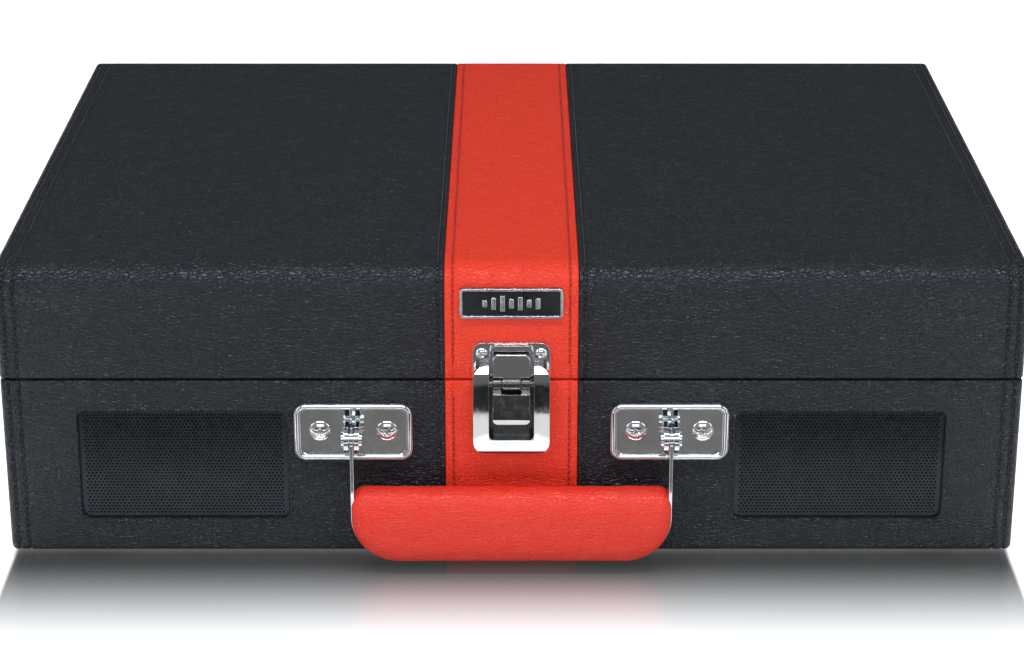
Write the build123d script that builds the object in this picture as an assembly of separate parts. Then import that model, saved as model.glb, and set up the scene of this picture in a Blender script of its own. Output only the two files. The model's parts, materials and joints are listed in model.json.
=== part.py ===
from build123d import *
import math
import os

# Suitcase record player, closed, handle hanging. Millimetres.
# +X is the player's right seen from the front, +Y goes to the hinges, +Z is up.
# The origin is on the floor, under the middle of the whole object.

# ---- driving dimensions: case ----
CASE_W = 350.0
CASE_D = 256.0
CASE_H = 106.0
FOOT_H = 2.5
FRONT = -124.75
BACK = FRONT + CASE_D
BOTTOM = FOOT_H
TOP = BOTTOM + CASE_H
RIM_BASE = 67.3
RIM_LID = 68.1
SPLIT = 67.7
SKIN = 1.0
BASE_WALL = 8.0
LID_WALL = 6.0
EDGE_TOP = 9.0
EDGE_BOTTOM = 3.0
STRIPE_HALF = 22.8
LINING = 0.8

# ---- speakers ----
SPEAKER_X = 113.3
SPEAKER_Z = 35.6
GRILLE_W = 72.4
GRILLE_H = 41.2
REBATE = 1.5

# ---- handle ----
BRACKET_X = 54.3
BRACKET_Z = 49.3
BAND_X = 54.5
BAND_T = 1.2
BAND_W = 8.0
PIVOT_D = 8.5
HANDLE_PIN_R = 1.6
GRIP_BOTTOM = 4.6
GRIP_TOP = 31.1
GRIP_DEPTH = 15.0
RUN = 0.05

# ---- latch ----
LATCH_Z = 68.0
LATCH_D = 4.2
LATCH_PIN_R = 1.1
KNUCKLE_R = 2.2

# ---- rear hinges ----
HINGE_X = 100.0
HINGE_D = 2.8
HINGE_PIN_R = 1.2
HINGE_KNUCKLE_R = 2.4

# ---- deck and drive ----
DECK_TOP = 57.5
DECK_T = 3.0
SPINDLE = (-10.0, -18.0)
PLATTER_R = 95.0
MAT_TOP = 69.5
PLATTER_TOP = 67.5
SPINDLE_R = 3.55
MAT_HOLE_R = 5.0
RING_R = 45.0
PULLEY_R = 3.0
PULLEY_DIST = 68.0
PULLEY_DEG = 215.0
BELT_T = 0.8

# ---- tonearm ----
ARM = (132.0, 92.0)
ARM_Z = 78.0
TUBE_R = 3.5
STYLUS_Y = -100.6
LIFT_R = 27.0
LIFT_POST = (134.4, 65.1)
REST_Y = 46.0

# ---- controls and sockets ----
KNOB = (148.0, -72.0)
LAMP = (150.0, -98.0)
SPEED = (-140.0, -84.0)
SWITCH = (-140.0, -40.0)
ADAPTER = (-130.0, 88.0)
SOCKET_Z = 34.0
RCA_X = (-32.0, -14.0)
PHONES_X = 8.0
DC_X = 32.0
SOCKET_BAY_X = 42.0
SOCKET_BAY_Z = (19.0, 49.0)


def box(x0, x1, y0, y1, z0, z1):
    size = Box(x1 - x0, y1 - y0, z1 - z0)
    return Pos((x0 + x1) / 2, (y0 + y1) / 2, (z0 + z1) / 2) * size


def front_box(x0, x1, d0, d1, z0, z1):
    return box(x0, x1, FRONT - d1, FRONT - d0, z0, z1)


def rod_x(x0, x1, y, z, r):
    return Pos((x0 + x1) / 2, y, z) * (Rot(Y=90) * Cylinder(r, x1 - x0))


def rod_y(x, y0, y1, z, r):
    return Pos(x, (y0 + y1) / 2, z) * (Rot(X=90) * Cylinder(r, y1 - y0))


def rod_z(x, y, z0, z1, r):
    return Pos(x, y, (z0 + z1) / 2) * Cylinder(r, z1 - z0)


def prism_x(points, x0, x1):
    face = Plane.YZ.offset(x0) * Polygon(*points, align=None)
    return extrude(face, x1 - x0, dir=(1, 0, 0))


def rounded(solid, axis, radius):
    return fillet(solid.edges().filter_by(axis), radius)


def save(node, *shapes):
    solids = [s for shape in shapes for s in shape.solids()]
    whole = solids[0] if len(solids) == 1 else Compound(solids)
    export_step(whole, f"parts/{node}.step")


# ---- fastener places: (x, y, z, direction the head faces) ----
def bracket_screw_spots():
    spots = []
    for side in (-1, 1):
        for off in (-11.5, 11.5):
            spots.append((side * BRACKET_X + off, FRONT - 1.4, BRACKET_Z + 0.2, "-Y"))
    return spots


def frame_stud_spots():
    return [(x, FRONT, z, "-Y") for x in (-10.4, 10.4) for z in (47.0, 62.0)]


def catch_screw_spots():
    return [(-10.1, FRONT - 1.2, 78.0, "-Y"), (10.1, FRONT - 1.2, 78.0, "-Y")]


def hinge_screw_spots(z):
    spots = []
    for side in (-1, 1):
        for off in (-13.0, 13.0):
            spots.append((side * HINGE_X + off, BACK + 1.2, z, "+Y"))
    return spots


def panel_screw_spots():
    return [(x, BACK + 1.5, z, "+Y") for x in (-44.0, 44.0) for z in (18.0, 50.0)]


def deck_screw_spots():
    return [(x, y, DECK_TOP, "+Z") for x in (-161.5, 161.5) for y in (-70.0, 5.0, 80.0)]


def screw(spot, head_r, head_h, shank_r, length):
    x, y, z, way = spot
    if way == "-Y":
        head = rod_y(x, y - head_h, y, z, head_r)
        rim = head.faces().sort_by(Axis.Y)[0].edges()
        slot_a = box(x - head_r * 0.55, x + head_r * 0.55, y - head_h, y - head_h + 0.6, z - 0.3, z + 0.3)
        slot_b = box(x - 0.3, x + 0.3, y - head_h, y - head_h + 0.6, z - head_r * 0.55, z + head_r * 0.55)
        shank = rod_y(x, y, y + length, z, shank_r)
    elif way == "+Y":
        head = rod_y(x, y, y + head_h, z, head_r)
        rim = head.faces().sort_by(Axis.Y)[-1].edges()
        slot_a = box(x - head_r * 0.55, x + head_r * 0.55, y + head_h - 0.6, y + head_h, z - 0.3, z + 0.3)
        slot_b = box(x - 0.3, x + 0.3, y + head_h - 0.6, y + head_h, z - head_r * 0.55, z + head_r * 0.55)
        shank = rod_y(x, y - length, y, z, shank_r)
    else:
        head = rod_z(x, y, z, z + head_h, head_r)
        rim = head.faces().sort_by(Axis.Z)[-1].edges()
        slot_a = box(x - head_r * 0.55, x + head_r * 0.55, y - 0.3, y + 0.3, z + head_h - 0.6, z + head_h)
        slot_b = box(x - 0.3, x + 0.3, y - head_r * 0.55, y + head_r * 0.55, z + head_h - 0.6, z + head_h)
        shank = rod_z(x, y, z - length, z, shank_r)
    head = fillet(rim, head_h * 0.45)
    return head + shank - slot_a - slot_b


def drilled(shape, spots, shank_r, length):
    for x, y, z, way in spots:
        if way == "-Y":
            shape -= rod_y(x, y - 4, y + length + 0.02, z, shank_r + 0.02)
        elif way == "+Y":
            shape -= rod_y(x, y - length - 0.02, y + 4, z, shank_r + 0.02)
        else:
            shape -= rod_z(x, y, z - length - 0.02, z + 1, shank_r + 0.02)
    return shape


# ---- case ----
def base_shell_block(inset, x0, x1, radius):
    block = box(x0, x1, FRONT + inset, BACK - inset, BOTTOM + inset, RIM_BASE)
    low = block.edges().filter_by(Axis.X).group_by(Axis.Z)[0]
    return fillet(low, radius)


def lid_shell_block(inset, x0, x1, radius):
    block = box(x0, x1, FRONT + inset, BACK - inset, RIM_LID, TOP - inset)
    high = block.edges().filter_by(Axis.X).group_by(Axis.Z)[-1]
    return fillet(high, radius)


def grille_cut(y0, y1, side):
    cut = box(
        side * SPEAKER_X - GRILLE_W / 2, side * SPEAKER_X + GRILLE_W / 2, y0, y1,
        SPEAKER_Z - GRILLE_H / 2, SPEAKER_Z + GRILLE_H / 2)
    return rounded(cut, Axis.Y, 3.0)


def socket_bay(y0, y1):
    return box(-SOCKET_BAY_X, SOCKET_BAY_X, y0, y1, *SOCKET_BAY_Z)


def make_base_box():
    outer = base_shell_block(SKIN, -CASE_W / 2 + SKIN, CASE_W / 2 - SKIN, EDGE_BOTTOM - SKIN)
    inner_y0 = FRONT + SKIN + BASE_WALL
    inner_y1 = BACK - SKIN - BASE_WALL
    inner_x = CASE_W / 2 - SKIN - BASE_WALL
    floor_top = BOTTOM + SKIN + BASE_WALL
    front = outer & box(-200, 200, FRONT, inner_y0, 0, 100)
    back = outer & box(-200, 200, inner_y1, BACK, 0, 100)
    floor = box(-CASE_W / 2 + SKIN, CASE_W / 2 - SKIN, inner_y0, inner_y1, BOTTOM + SKIN, floor_top)
    left = box(-CASE_W / 2 + SKIN, -inner_x, inner_y0, inner_y1, floor_top, RIM_BASE)
    right = box(inner_x, CASE_W / 2 - SKIN, inner_y0, inner_y1, floor_top, RIM_BASE)
    for side in (-1, 1):
        front -= grille_cut(FRONT, FRONT + SKIN + REBATE, side)
        window = box(side * SPEAKER_X - 32, side * SPEAKER_X + 32, FRONT, inner_y0,
                     SPEAKER_Z - 16.5, SPEAKER_Z + 16.5)
        front -= rounded(window, Axis.Y, 14.0)
    front = drilled(front, bracket_screw_spots(), 1.6, 8)
    front = drilled(front, frame_stud_spots(), 1.4, 7)
    back = drilled(back, hinge_screw_spots(55.0), 1.3, 7)
    back = drilled(back, panel_screw_spots(), 1.3, 7)
    back_parts = [
        back & box(*x_span, inner_y1, BACK, *z_span)
        for x_span, z_span in (
            ((-200, -SOCKET_BAY_X), (0, 100)), ((SOCKET_BAY_X, 200), (0, 100)),
            ((-SOCKET_BAY_X, SOCKET_BAY_X), (0, SOCKET_BAY_Z[0])),
            ((-SOCKET_BAY_X, SOCKET_BAY_X), (SOCKET_BAY_Z[1], 100)))]
    rails = []
    for side in (-1, 1):
        x0, x1 = sorted((side * 157.0, side * inner_x))
        rail = box(x0, x1, -84, 94, DECK_TOP - DECK_T - 12, DECK_TOP - DECK_T)
        rails.append(drilled(rail, deck_screw_spots(), 1.3, 10))
    save("base_box", front, *back_parts, floor, left, right, *rails)


def base_wrap(x0, x1):
    return base_shell_block(0, x0, x1, EDGE_BOTTOM) - base_shell_block(SKIN, x0, x1, EDGE_BOTTOM - SKIN)


def lid_wrap(x0, x1):
    return lid_shell_block(0, x0, x1, EDGE_TOP) - lid_shell_block(SKIN, x0, x1, EDGE_TOP - SKIN)


def softened_end(end, side):
    outer = end.faces().sort_by(Axis.X)[-1 if side > 0 else 0]
    return fillet(outer.edges(), 0.8)


def make_base_covers():
    pieces = []
    for side in (-1, 1):
        x0, x1 = sorted((side * STRIPE_HALF, side * (CASE_W / 2 - SKIN)))
        wrap = base_wrap(x0, x1) - grille_cut(FRONT - 1, FRONT + SKIN, side)
        wrap = drilled(wrap, bracket_screw_spots(), 1.6, 8)
        wrap = drilled(wrap, hinge_screw_spots(55.0), 1.3, 7)
        wrap = drilled(wrap, panel_screw_spots(), 1.3, 7)
        wrap -= socket_bay(BACK - 3, BACK + 1)
        pieces.append(wrap)
        e0, e1 = sorted((side * (CASE_W / 2 - SKIN), side * CASE_W / 2))
        end = base_shell_block(0, e0, e1, EDGE_BOTTOM)
        pieces.append(softened_end(end, side))
    save("base_cover_black", *pieces)
    red = base_wrap(-STRIPE_HALF, STRIPE_HALF)
    red = drilled(red, frame_stud_spots(), 1.4, 7)
    red -= socket_bay(BACK - 3, BACK + 1)
    save("base_cover_red", red)


def make_feet():
    feet = []
    for x in (-150, 150):
        for y in (FRONT + 24, BACK - 24):
            foot = rod_z(x, y, 0, FOOT_H, 9)
            feet.append(fillet(foot.faces().sort_by(Axis.Z)[0].edges(), 0.8))
    save("feet", *feet)


def make_lid_box():
    outer = lid_shell_block(SKIN, -CASE_W / 2 + SKIN, CASE_W / 2 - SKIN, EDGE_TOP - SKIN)
    y0 = FRONT + SKIN + LID_WALL
    y1 = BACK - SKIN - LID_WALL
    ceiling = TOP - SKIN - LID_WALL
    inner_x = CASE_W / 2 - SKIN - LID_WALL
    front = drilled(outer & box(-200, 200, FRONT, y0, 0, 200), catch_screw_spots(), 1.1, 5)
    back = drilled(outer & box(-200, 200, y1, BACK, 0, 200), hinge_screw_spots(80.4), 1.3, 5)
    top = outer & box(-200, 200, y0, y1, ceiling, 200)
    left = box(-CASE_W / 2 + SKIN, -inner_x, y0, y1, RIM_LID, ceiling)
    right = box(inner_x, CASE_W / 2 - SKIN, y0, y1, RIM_LID, ceiling)
    save("lid_box", front, back, top, left, right)


def make_lid_covers():
    pieces = []
    for side in (-1, 1):
        x0, x1 = sorted((side * STRIPE_HALF, side * (CASE_W / 2 - SKIN)))
        pieces.append(drilled(lid_wrap(x0, x1), hinge_screw_spots(80.4), 1.3, 5))
        e0, e1 = sorted((side * (CASE_W / 2 - SKIN), side * CASE_W / 2))
        pieces.append(softened_end(lid_shell_block(0, e0, e1, EDGE_TOP), side))
    save("lid_cover_black", *pieces)
    red = drilled(lid_wrap(-STRIPE_HALF, STRIPE_HALF), catch_screw_spots(), 1.1, 5)
    save("lid_cover_red", red)


def make_lid_lining():
    x = CASE_W / 2 - SKIN - LID_WALL
    y0 = FRONT + SKIN + LID_WALL
    y1 = BACK - SKIN - LID_WALL
    z1 = TOP - SKIN - LID_WALL
    z0 = RIM_LID + 1
    top = box(-x, x, y0, y1, z1 - LINING, z1)
    front = box(-x, x, y0, y0 + LINING, z0, z1 - LINING)
    back = box(-x, x, y1 - LINING, y1, z0, z1 - LINING)
    left = box(-x, -x + LINING, y0 + LINING, y1 - LINING, z0, z1 - LINING)
    right = box(x - LINING, x, y0 + LINING, y1 - LINING, z0, z1 - LINING)
    save("lid_lining", top, front, back, left, right)


def make_nameplate():
    plate = rounded(front_box(-17.5, 17.5, 0, 0.8, 90.7, 101.4), Axis.Y, 1.2)
    save("nameplate", plate)
    rim = rounded(front_box(-17.5, 17.5, 0.8, 1.3, 90.7, 101.4), Axis.Y, 1.2)
    rim -= rounded(front_box(-16.6, 16.6, 0.7, 1.4, 91.6, 100.5), Axis.Y, 0.6)
    bars = []
    for i, h in enumerate((2.4, 4.2, 5.6, 3.4, 4.8, 2.8, 3.8)):
        x = (i - 3) * 3.0
        bars.append(front_box(x - 0.8, x + 0.8, 0.8, 1.3, 96.05 - h / 2, 96.05 + h / 2))
    save("nameplate_trim", rim, *bars)


# ---- speakers ----
def make_speaker_grilles():
    grilles = []
    for side in (-1, 1):
        plate = box(
            side * SPEAKER_X - GRILLE_W / 2 + 0.2, side * SPEAKER_X + GRILLE_W / 2 - 0.2,
            FRONT + SKIN + REBATE - 0.8, FRONT + SKIN + REBATE,
            SPEAKER_Z - GRILLE_H / 2 + 0.2, SPEAKER_Z + GRILLE_H / 2 - 0.2)
        grilles.append(rounded(plate, Axis.Y, 2.8))
    save("speaker_grilles", *grilles)


def make_speakers():
    frames = []
    cones = []
    y = FRONT + SKIN + BASE_WALL
    for side in (-1, 1):
        x = side * SPEAKER_X
        flange = rounded(box(x - 35.5, x + 35.5, y, y + 1.2, SPEAKER_Z - 18.5, SPEAKER_Z + 18.5), Axis.Y, 5)
        tub = rounded(box(x - 32, x + 32, y + 1, y + 9, SPEAKER_Z - 16.5, SPEAKER_Z + 16.5), Axis.Y, 12)
        magnet = rod_y(x, y + 8.5, y + 19, SPEAKER_Z, 15)
        hollow = rounded(box(x - 30.5, x + 30.5, y - 1, y + 8, SPEAKER_Z - 15, SPEAKER_Z + 15), Axis.Y, 10.5)
        frames.append(flange + tub + magnet - hollow)
        surround = rounded(box(x - 30.3, x + 30.3, y + 1, y + 1.6, SPEAKER_Z - 14.8, SPEAKER_Z + 14.8), Axis.Y, 10.3)
        throat = loft([
            Plane.XZ.offset(-(y + 1.6)) * Pos(x, SPEAKER_Z) * Ellipse(26, 12.5),
            Plane.XZ.offset(-(y + 6.6)) * Pos(x, SPEAKER_Z) * Ellipse(7, 5)])
        cap = Pos(x, y + 1.6, SPEAKER_Z) * Sphere(4) & box(x - 9, x + 9, y - 4, y + 1.6, 0, 100)
        cones.append(surround + throat + cap)
    save("speaker_frames", *frames)
    save("speaker_cones", *cones)


# ---- handle ----
def make_handle_brackets():
    y = FRONT - PIVOT_D
    brackets = []
    pins = []
    for side in (-1, 1):
        x = side * BRACKET_X
        z = BRACKET_Z
        plate = rounded(front_box(x - 20.25, x + 20.25, 0, 2.6, z - 10.3, z + 10.3), Axis.Y, 4)
        plate -= rounded(front_box(x - 18.3, x + 18.3, 1.4, 3, z - 8.4, z + 8.4), Axis.Y, 2.4)
        mid = side * BAND_X
        ears = None
        for off in (-1, 1):
            a, b = sorted((mid + off * 1.0, mid + off * 2.6))
            ear = box(a, b, y, FRONT - 1.0, z - 4.6, z + 4.6) + rod_x(a, b, y, z, 4.6)
            ear -= rod_x(a - 1, b + 1, y, z, HANDLE_PIN_R + 0.02)
            slot = front_box(a, b, -0.5, 3, z + 5.6, z + 8.4)
            plate = plate + ear - slot
        plate = drilled(plate, bracket_screw_spots(), 1.6, 8)
        brackets.append(plate)
        pin = rod_x(mid - 2.6, mid + 2.6, y, z, HANDLE_PIN_R)
        heads = rod_x(mid - 3.5, mid - 2.6, y, z, 2.8) + rod_x(mid + 2.6, mid + 3.5, y, z, 2.8)
        pins.append(pin + heads)
    save("handle_brackets", *brackets)
    save("handle_pivot_pins", *pins)


def band_outline(half, bottom, radius, top):
    wide = Pos(0, (top + bottom) / 2) * Rectangle(2 * half, top - bottom)
    low = wide.vertices().group_by(Axis.Y)[0]
    return fillet(low, radius)


def make_handle_bail():
    outer_half = BAND_X + BAND_T / 2
    bottom = GRIP_BOTTOM + 0.8
    outer = band_outline(outer_half, bottom, 16, BRACKET_Z)
    inner = band_outline(outer_half - BAND_T, bottom + BAND_T, 16 - BAND_T, BRACKET_Z)
    strip = Plane.XZ.offset(-(FRONT - PIVOT_D + BAND_W / 2)) * (outer - inner)
    strip = extrude(strip, BAND_W, dir=(0, -1, 0))
    for side in (-1, 1):
        a, b = sorted((side * (outer_half - BAND_T), side * outer_half))
        strip += rod_x(a, b, FRONT - PIVOT_D, BRACKET_Z, 4.2)
        strip -= rod_x(a - 1, b + 1, FRONT - PIVOT_D, BRACKET_Z, HANDLE_PIN_R + RUN)
    save("handle_bail", strip)
    return strip


def pad_solid(half, bottom, top, depth, low_r, high_r, edge_r):
    shape = Pos(0, (top + bottom) / 2) * Rectangle(2 * half, top - bottom)
    corners = shape.vertices().group_by(Axis.Y)
    shape = fillet(corners[0], low_r)
    shape = fillet(shape.vertices().group_by(Axis.Y)[-1], high_r)
    pad = Plane.XZ.offset(-(FRONT - PIVOT_D + depth / 2)) * shape
    pad = extrude(pad, depth, dir=(0, -1, 0))
    rims = pad.faces().sort_by(Axis.Y)[0].edges() + pad.faces().sort_by(Axis.Y)[-1].edges()
    return fillet(rims, edge_r)


def make_handle_grip(bail):
    pad = pad_solid(54.3, GRIP_BOTTOM, GRIP_TOP, GRIP_DEPTH, 16, 5.5, 3.4)
    core = pad_solid(51.6, GRIP_BOTTOM + 3.2, GRIP_TOP - 1.4, GRIP_DEPTH - 3, 13, 4.0, 2.0)
    save("handle_cover", pad - core - bail)
    save("handle_core", core)


# ---- latch ----
def make_latch_frame():
    side_view = [(FRONT - d, z) for d, z in (
        (0, 42.3), (4.4, 42.3), (5.3, 43.4), (6.4, 52.0), (6.4, 72.4), (4.9, 74.9), (1.6, 74.9),
        (1.6, 67.0), (0, 67.0))]
    frame = prism_x(side_view, -13.1, 13.1)
    frame &= rounded(front_box(-13.1, 13.1, -1, 8, 42.3, 74.9), Axis.Y, 4.4)
    recess = front_box(-7.7, 7.7, 1.4, 9, 47.8, 90)
    low = [e for e in recess.edges().filter_by(Axis.Y) if e.center().Z < 50]
    frame -= fillet(low, 2.0)
    frame -= front_box(-7.7, 7.7, -1, 9, 67.0, 90)
    frame -= rod_x(-11.0, 11.0, FRONT - LATCH_D, LATCH_Z, LATCH_PIN_R + 0.02)
    for x, y, z, way in frame_stud_spots():
        frame += rod_y(x, y - 0.5, y + 7, z, 1.4)
    save("latch_frame", frame)
    pin = rod_x(-10.98, 10.98, FRONT - LATCH_D, LATCH_Z, LATCH_PIN_R)
    save("latch_pin", pin)


def make_latch_catch():
    plate = front_box(-13.2, 13.2, 0, 1.2, 68.5, 81.8)
    plate = fillet([e for e in plate.edges().filter_by(Axis.Y) if e.center().Z > 80], 3.4)
    lip = front_box(-7.4, 7.4, 1.0, 3.0, 76.6, 81.4)
    top = [e for e in lip.edges().filter_by(Axis.Y) if e.center().Z > 80]
    lip = fillet(top, 2.6)
    lip -= front_box(-6.7, 6.7, 1.2, 4, 70, 79.3)
    plate = drilled(plate + lip, catch_screw_spots(), 1.1, 5)
    save("latch_catch", plate)


def make_latch_lever():
    tab = [(FRONT - d, z) for d, z in (
        (5.6, 65.2), (7.3, 65.2), (8.8, 56.6), (8.2, 54.6), (7.0, 54.6), (6.2, 57.0))]
    lever = prism_x(tab, -6.3, 6.3)
    lever &= rounded(front_box(-6.3, 6.3, 0, 12, 54.6, 80), Axis.Y, 1.8)
    for side in (-1, 1):
        a, b = sorted((side * 3.5, side * 6.3))
        link = [(FRONT - d, z) for d, z in ((3.4, 66.4), (5.4, 67.2), (7.3, 64.9), (5.6, 64.0))]
        lever += prism_x(link, a, b)
        lever += rod_x(a, b, FRONT - LATCH_D, LATCH_Z, KNUCKLE_R)
        lever -= rod_x(a - 0.2, b + 0.2, FRONT - LATCH_D, LATCH_Z, LATCH_PIN_R + RUN)
    save("latch_lever", lever)


def make_latch_hook():
    plate = front_box(-6.4, 6.4, 3.35, 5.2, 70.6, 78.9)
    top = [e for e in plate.edges().filter_by(Axis.Y) if e.center().Z > 75]
    plate = fillet(top, 2.2)
    neck = front_box(-3.2, 3.2, 3.35, 5.2, 69.0, 70.8)
    hook = plate + neck + rod_x(-3.2, 3.2, FRONT - LATCH_D, LATCH_Z, KNUCKLE_R)
    hook -= rod_x(-4, 4, FRONT - LATCH_D, LATCH_Z, LATCH_PIN_R + RUN)
    save("latch_hook", hook)


# ---- rear hinges ----
def make_hinges():
    base_leaves = []
    lid_leaves = []
    pins = []
    y = BACK + HINGE_D
    for side in (-1, 1):
        x = side * HINGE_X
        leaf = box(x - 20, x + 20, BACK, BACK + 1.2, 47.5, SPLIT - 0.3)
        leaf -= box(x - 7.4, x + 7.4, BACK - 1, BACK + 6, SPLIT - 3.2, SPLIT)
        upper = box(x - 20, x + 20, BACK, BACK + 1.2, SPLIT + 0.7, 87.5)
        for off in (-1, 1):
            a, b = sorted((x + off * 7.4, x + off * 20))
            leaf += rod_x(a, b, y, SPLIT, HINGE_KNUCKLE_R)
            leaf += box(a, b, BACK + 0.4, BACK + 1.2, SPLIT - 2, SPLIT)
            leaf -= rod_x(a - 0.1, b + 0.1, y, SPLIT, HINGE_PIN_R + 0.02)
            upper -= box(a - 0.4 * (off > 0), b + 0.4 * (off < 0), BACK - 1, BACK + 6, SPLIT, SPLIT + 3.4)
        upper += rod_x(x - 7, x + 7, y, SPLIT, HINGE_KNUCKLE_R)
        upper -= rod_x(x - 8, x + 8, y, SPLIT, HINGE_PIN_R + RUN)
        base_leaves.append(drilled(leaf, hinge_screw_spots(55.0), 1.3, 7))
        lid_leaves.append(drilled(upper, hinge_screw_spots(80.4), 1.3, 5))
        pins.append(rod_x(x - 20, x + 20, y, SPLIT, HINGE_PIN_R))
    save("hinge_leaves_base", *base_leaves)
    save("hinge_leaves_lid", *lid_leaves)
    save("hinge_pins", *pins)


def make_screws():
    save("bracket_screws", *[screw(s, 3.65, 1.8, 1.6, 8) for s in bracket_screw_spots()])
    hinge_set = [screw(s, 2.5, 1.2, 1.3, 7) for s in hinge_screw_spots(55.0)]
    panel_set = [screw(s, 2.5, 1.2, 1.3, 7) for s in panel_screw_spots()]
    deck_set = [screw(s, 2.5, 1.2, 1.3, 10) for s in deck_screw_spots()]
    save("case_screws", *hinge_set, *panel_set, *deck_set)
    catch_set = [screw(s, 2.0, 1.2, 1.1, 5) for s in catch_screw_spots()]
    lid_set = [screw(s, 2.5, 1.2, 1.3, 5) for s in hinge_screw_spots(80.4)]
    save("lid_screws", *catch_set, *lid_set)


# ---- deck ----
def pulley_centre():
    a = math.radians(PULLEY_DEG)
    return SPINDLE[0] + PULLEY_DIST * math.cos(a), SPINDLE[1] + PULLEY_DIST * math.sin(a)


def make_deck_plate():
    z0 = DECK_TOP - DECK_T
    x = CASE_W / 2 - SKIN - BASE_WALL - 0.3
    y0 = FRONT + SKIN + BASE_WALL + 0.3
    y1 = BACK - SKIN - BASE_WALL - 0.3
    deck = rounded(box(-x, x, y0, y1, z0, DECK_TOP), Axis.Z, 2.0)
    px, py = pulley_centre()
    deck -= rod_z(*SPINDLE, z0 - 1, DECK_TOP + 1, 6.02)
    deck -= rod_z(px, py, z0 - 1, DECK_TOP + 1, 7.0)
    deck -= rod_z(*KNOB, z0 - 1, DECK_TOP + 1, 5.02)
    deck -= rod_z(*LAMP, z0 - 1, DECK_TOP + 1, 2.52)
    deck -= rod_z(*SPEED, z0 - 1, DECK_TOP + 1, 3.0 + RUN)
    deck -= rod_z(*ARM, z0 - 1, DECK_TOP + 1, 2.5)
    deck -= box(SWITCH[0] - 2.2, SWITCH[0] + 2.2, SWITCH[1] - 5, SWITCH[1] + 5, z0 - 1, DECK_TOP + 1)
    deck = drilled(deck, deck_screw_spots(), 1.3, 10)
    peg = rod_z(*ADAPTER, DECK_TOP, DECK_TOP + 7, SPINDLE_R)
    save("deck_plate", deck, peg)


def make_platter():
    profile = [
        (4.02, PLATTER_TOP), (PLATTER_R - 1, PLATTER_TOP), (PLATTER_R, PLATTER_TOP - 1), (PLATTER_R, 59.2),
        (92.5, 59.2), (92.5, 64.8), (RING_R, 64.8), (RING_R, 59.8), (RING_R - 3, 59.8), (RING_R - 3, 64.8),
        (9.0, 64.8), (9.0, 59.3), (4.02, 59.3)]
    face = Plane.XZ * Polygon(*profile, align=None)
    platter = revolve(face, Axis.Z, 360)
    save("platter", Pos(SPINDLE[0], SPINDLE[1], 0) * platter)
    mat = rod_z(*SPINDLE, PLATTER_TOP, MAT_TOP, PLATTER_R - 3)
    mat -= rod_z(*SPINDLE, PLATTER_TOP - 1, MAT_TOP + 1, MAT_HOLE_R)
    save("platter_mat", mat)


def make_spindle():
    x, y = SPINDLE
    shaft = rod_z(x, y, 44.6, 59.1, 3.0)
    collar = rod_z(x, y, 59.1, PLATTER_TOP, 4.0)
    pin = rod_z(x, y, PLATTER_TOP, 80.5, SPINDLE_R)
    pin = fillet(pin.faces().sort_by(Axis.Z)[-1].edges(), 2.2)
    save("spindle", shaft + collar + pin)
    bush = rod_z(x, y, 43, DECK_TOP, 6.0) + rod_z(x, y, DECK_TOP, 58.7, 9.0)
    bush -= rod_z(x, y, 44.4, 60, 3.0 + RUN)
    save("spindle_bush", bush)


def loop_face(big, small):
    px, py = pulley_centre()
    phi = math.radians(PULLEY_DEG)
    alpha = math.acos((big - small) / PULLEY_DIST)
    pts = []
    for c, r, sign in ((SPINDLE, big, 1), ((px, py), small, 1), ((px, py), small, -1), (SPINDLE, big, -1)):
        pts.append((c[0] + r * math.cos(phi + sign * alpha), c[1] + r * math.sin(phi + sign * alpha)))
    body = Polygon(*pts, align=None)
    return body + Pos(*SPINDLE) * Circle(big) + Pos(px, py) * Circle(small)


def make_belt():
    outer = loop_face(RING_R + RUN + BELT_T, PULLEY_R + RUN + BELT_T)
    inner = loop_face(RING_R + RUN, PULLEY_R + RUN)
    belt = extrude(Pos(0, 0, 61.2) * (outer - inner), 2.2, dir=(0, 0, 1))
    save("drive_belt", belt)


def make_motor():
    x, y = pulley_centre()
    can = rod_z(x, y, 31, 53.2, 16)
    can = fillet(can.faces().sort_by(Axis.Z)[0].edges(), 2)
    tabs = rounded(box(x - 20, x + 20, y - 5, y + 5, 53.2, 54.5), Axis.Z, 3)
    boss = rod_z(x, y, 53.2, 56.5, 4.5)
    motor = can + tabs + boss - rod_z(x, y, 40, 60, 1.0 + RUN)
    save("motor", motor)
    pulley = rod_z(x, y, 41, 64.3, 1.0) + rod_z(x, y, 60.2, 64.3, PULLEY_R)
    pulley += rod_z(x, y, 60.2, 60.9, 4.4) + rod_z(x, y, 63.7, 64.3, 4.4)
    save("motor_pulley", pulley)


# ---- tonearm ----
def make_arm_base():
    x, y = ARM
    base = rod_z(x, y, DECK_TOP, 60, 17) + rod_z(x, y, 60, 65.6, 12)
    base -= rod_z(x, y, DECK_TOP + 0.4, 70, 3.0 + RUN)
    save("arm_pivot_base", base)
    yoke = rod_z(x, y, 58.2, 66, 3.0) + rod_z(x, y, 66, 68.4, 11)
    for side in (-1, 1):
        a, b = sorted((x + side * 6.5, x + side * 8.5))
        yoke += box(a, b, y - 4, y + 4, 68.0, ARM_Z) + rod_x(a, b, y, ARM_Z, 4)
    yoke += rod_x(x - 8.5, x + 8.5, y, ARM_Z, 1.5)
    save("arm_yoke", yoke)


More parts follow.
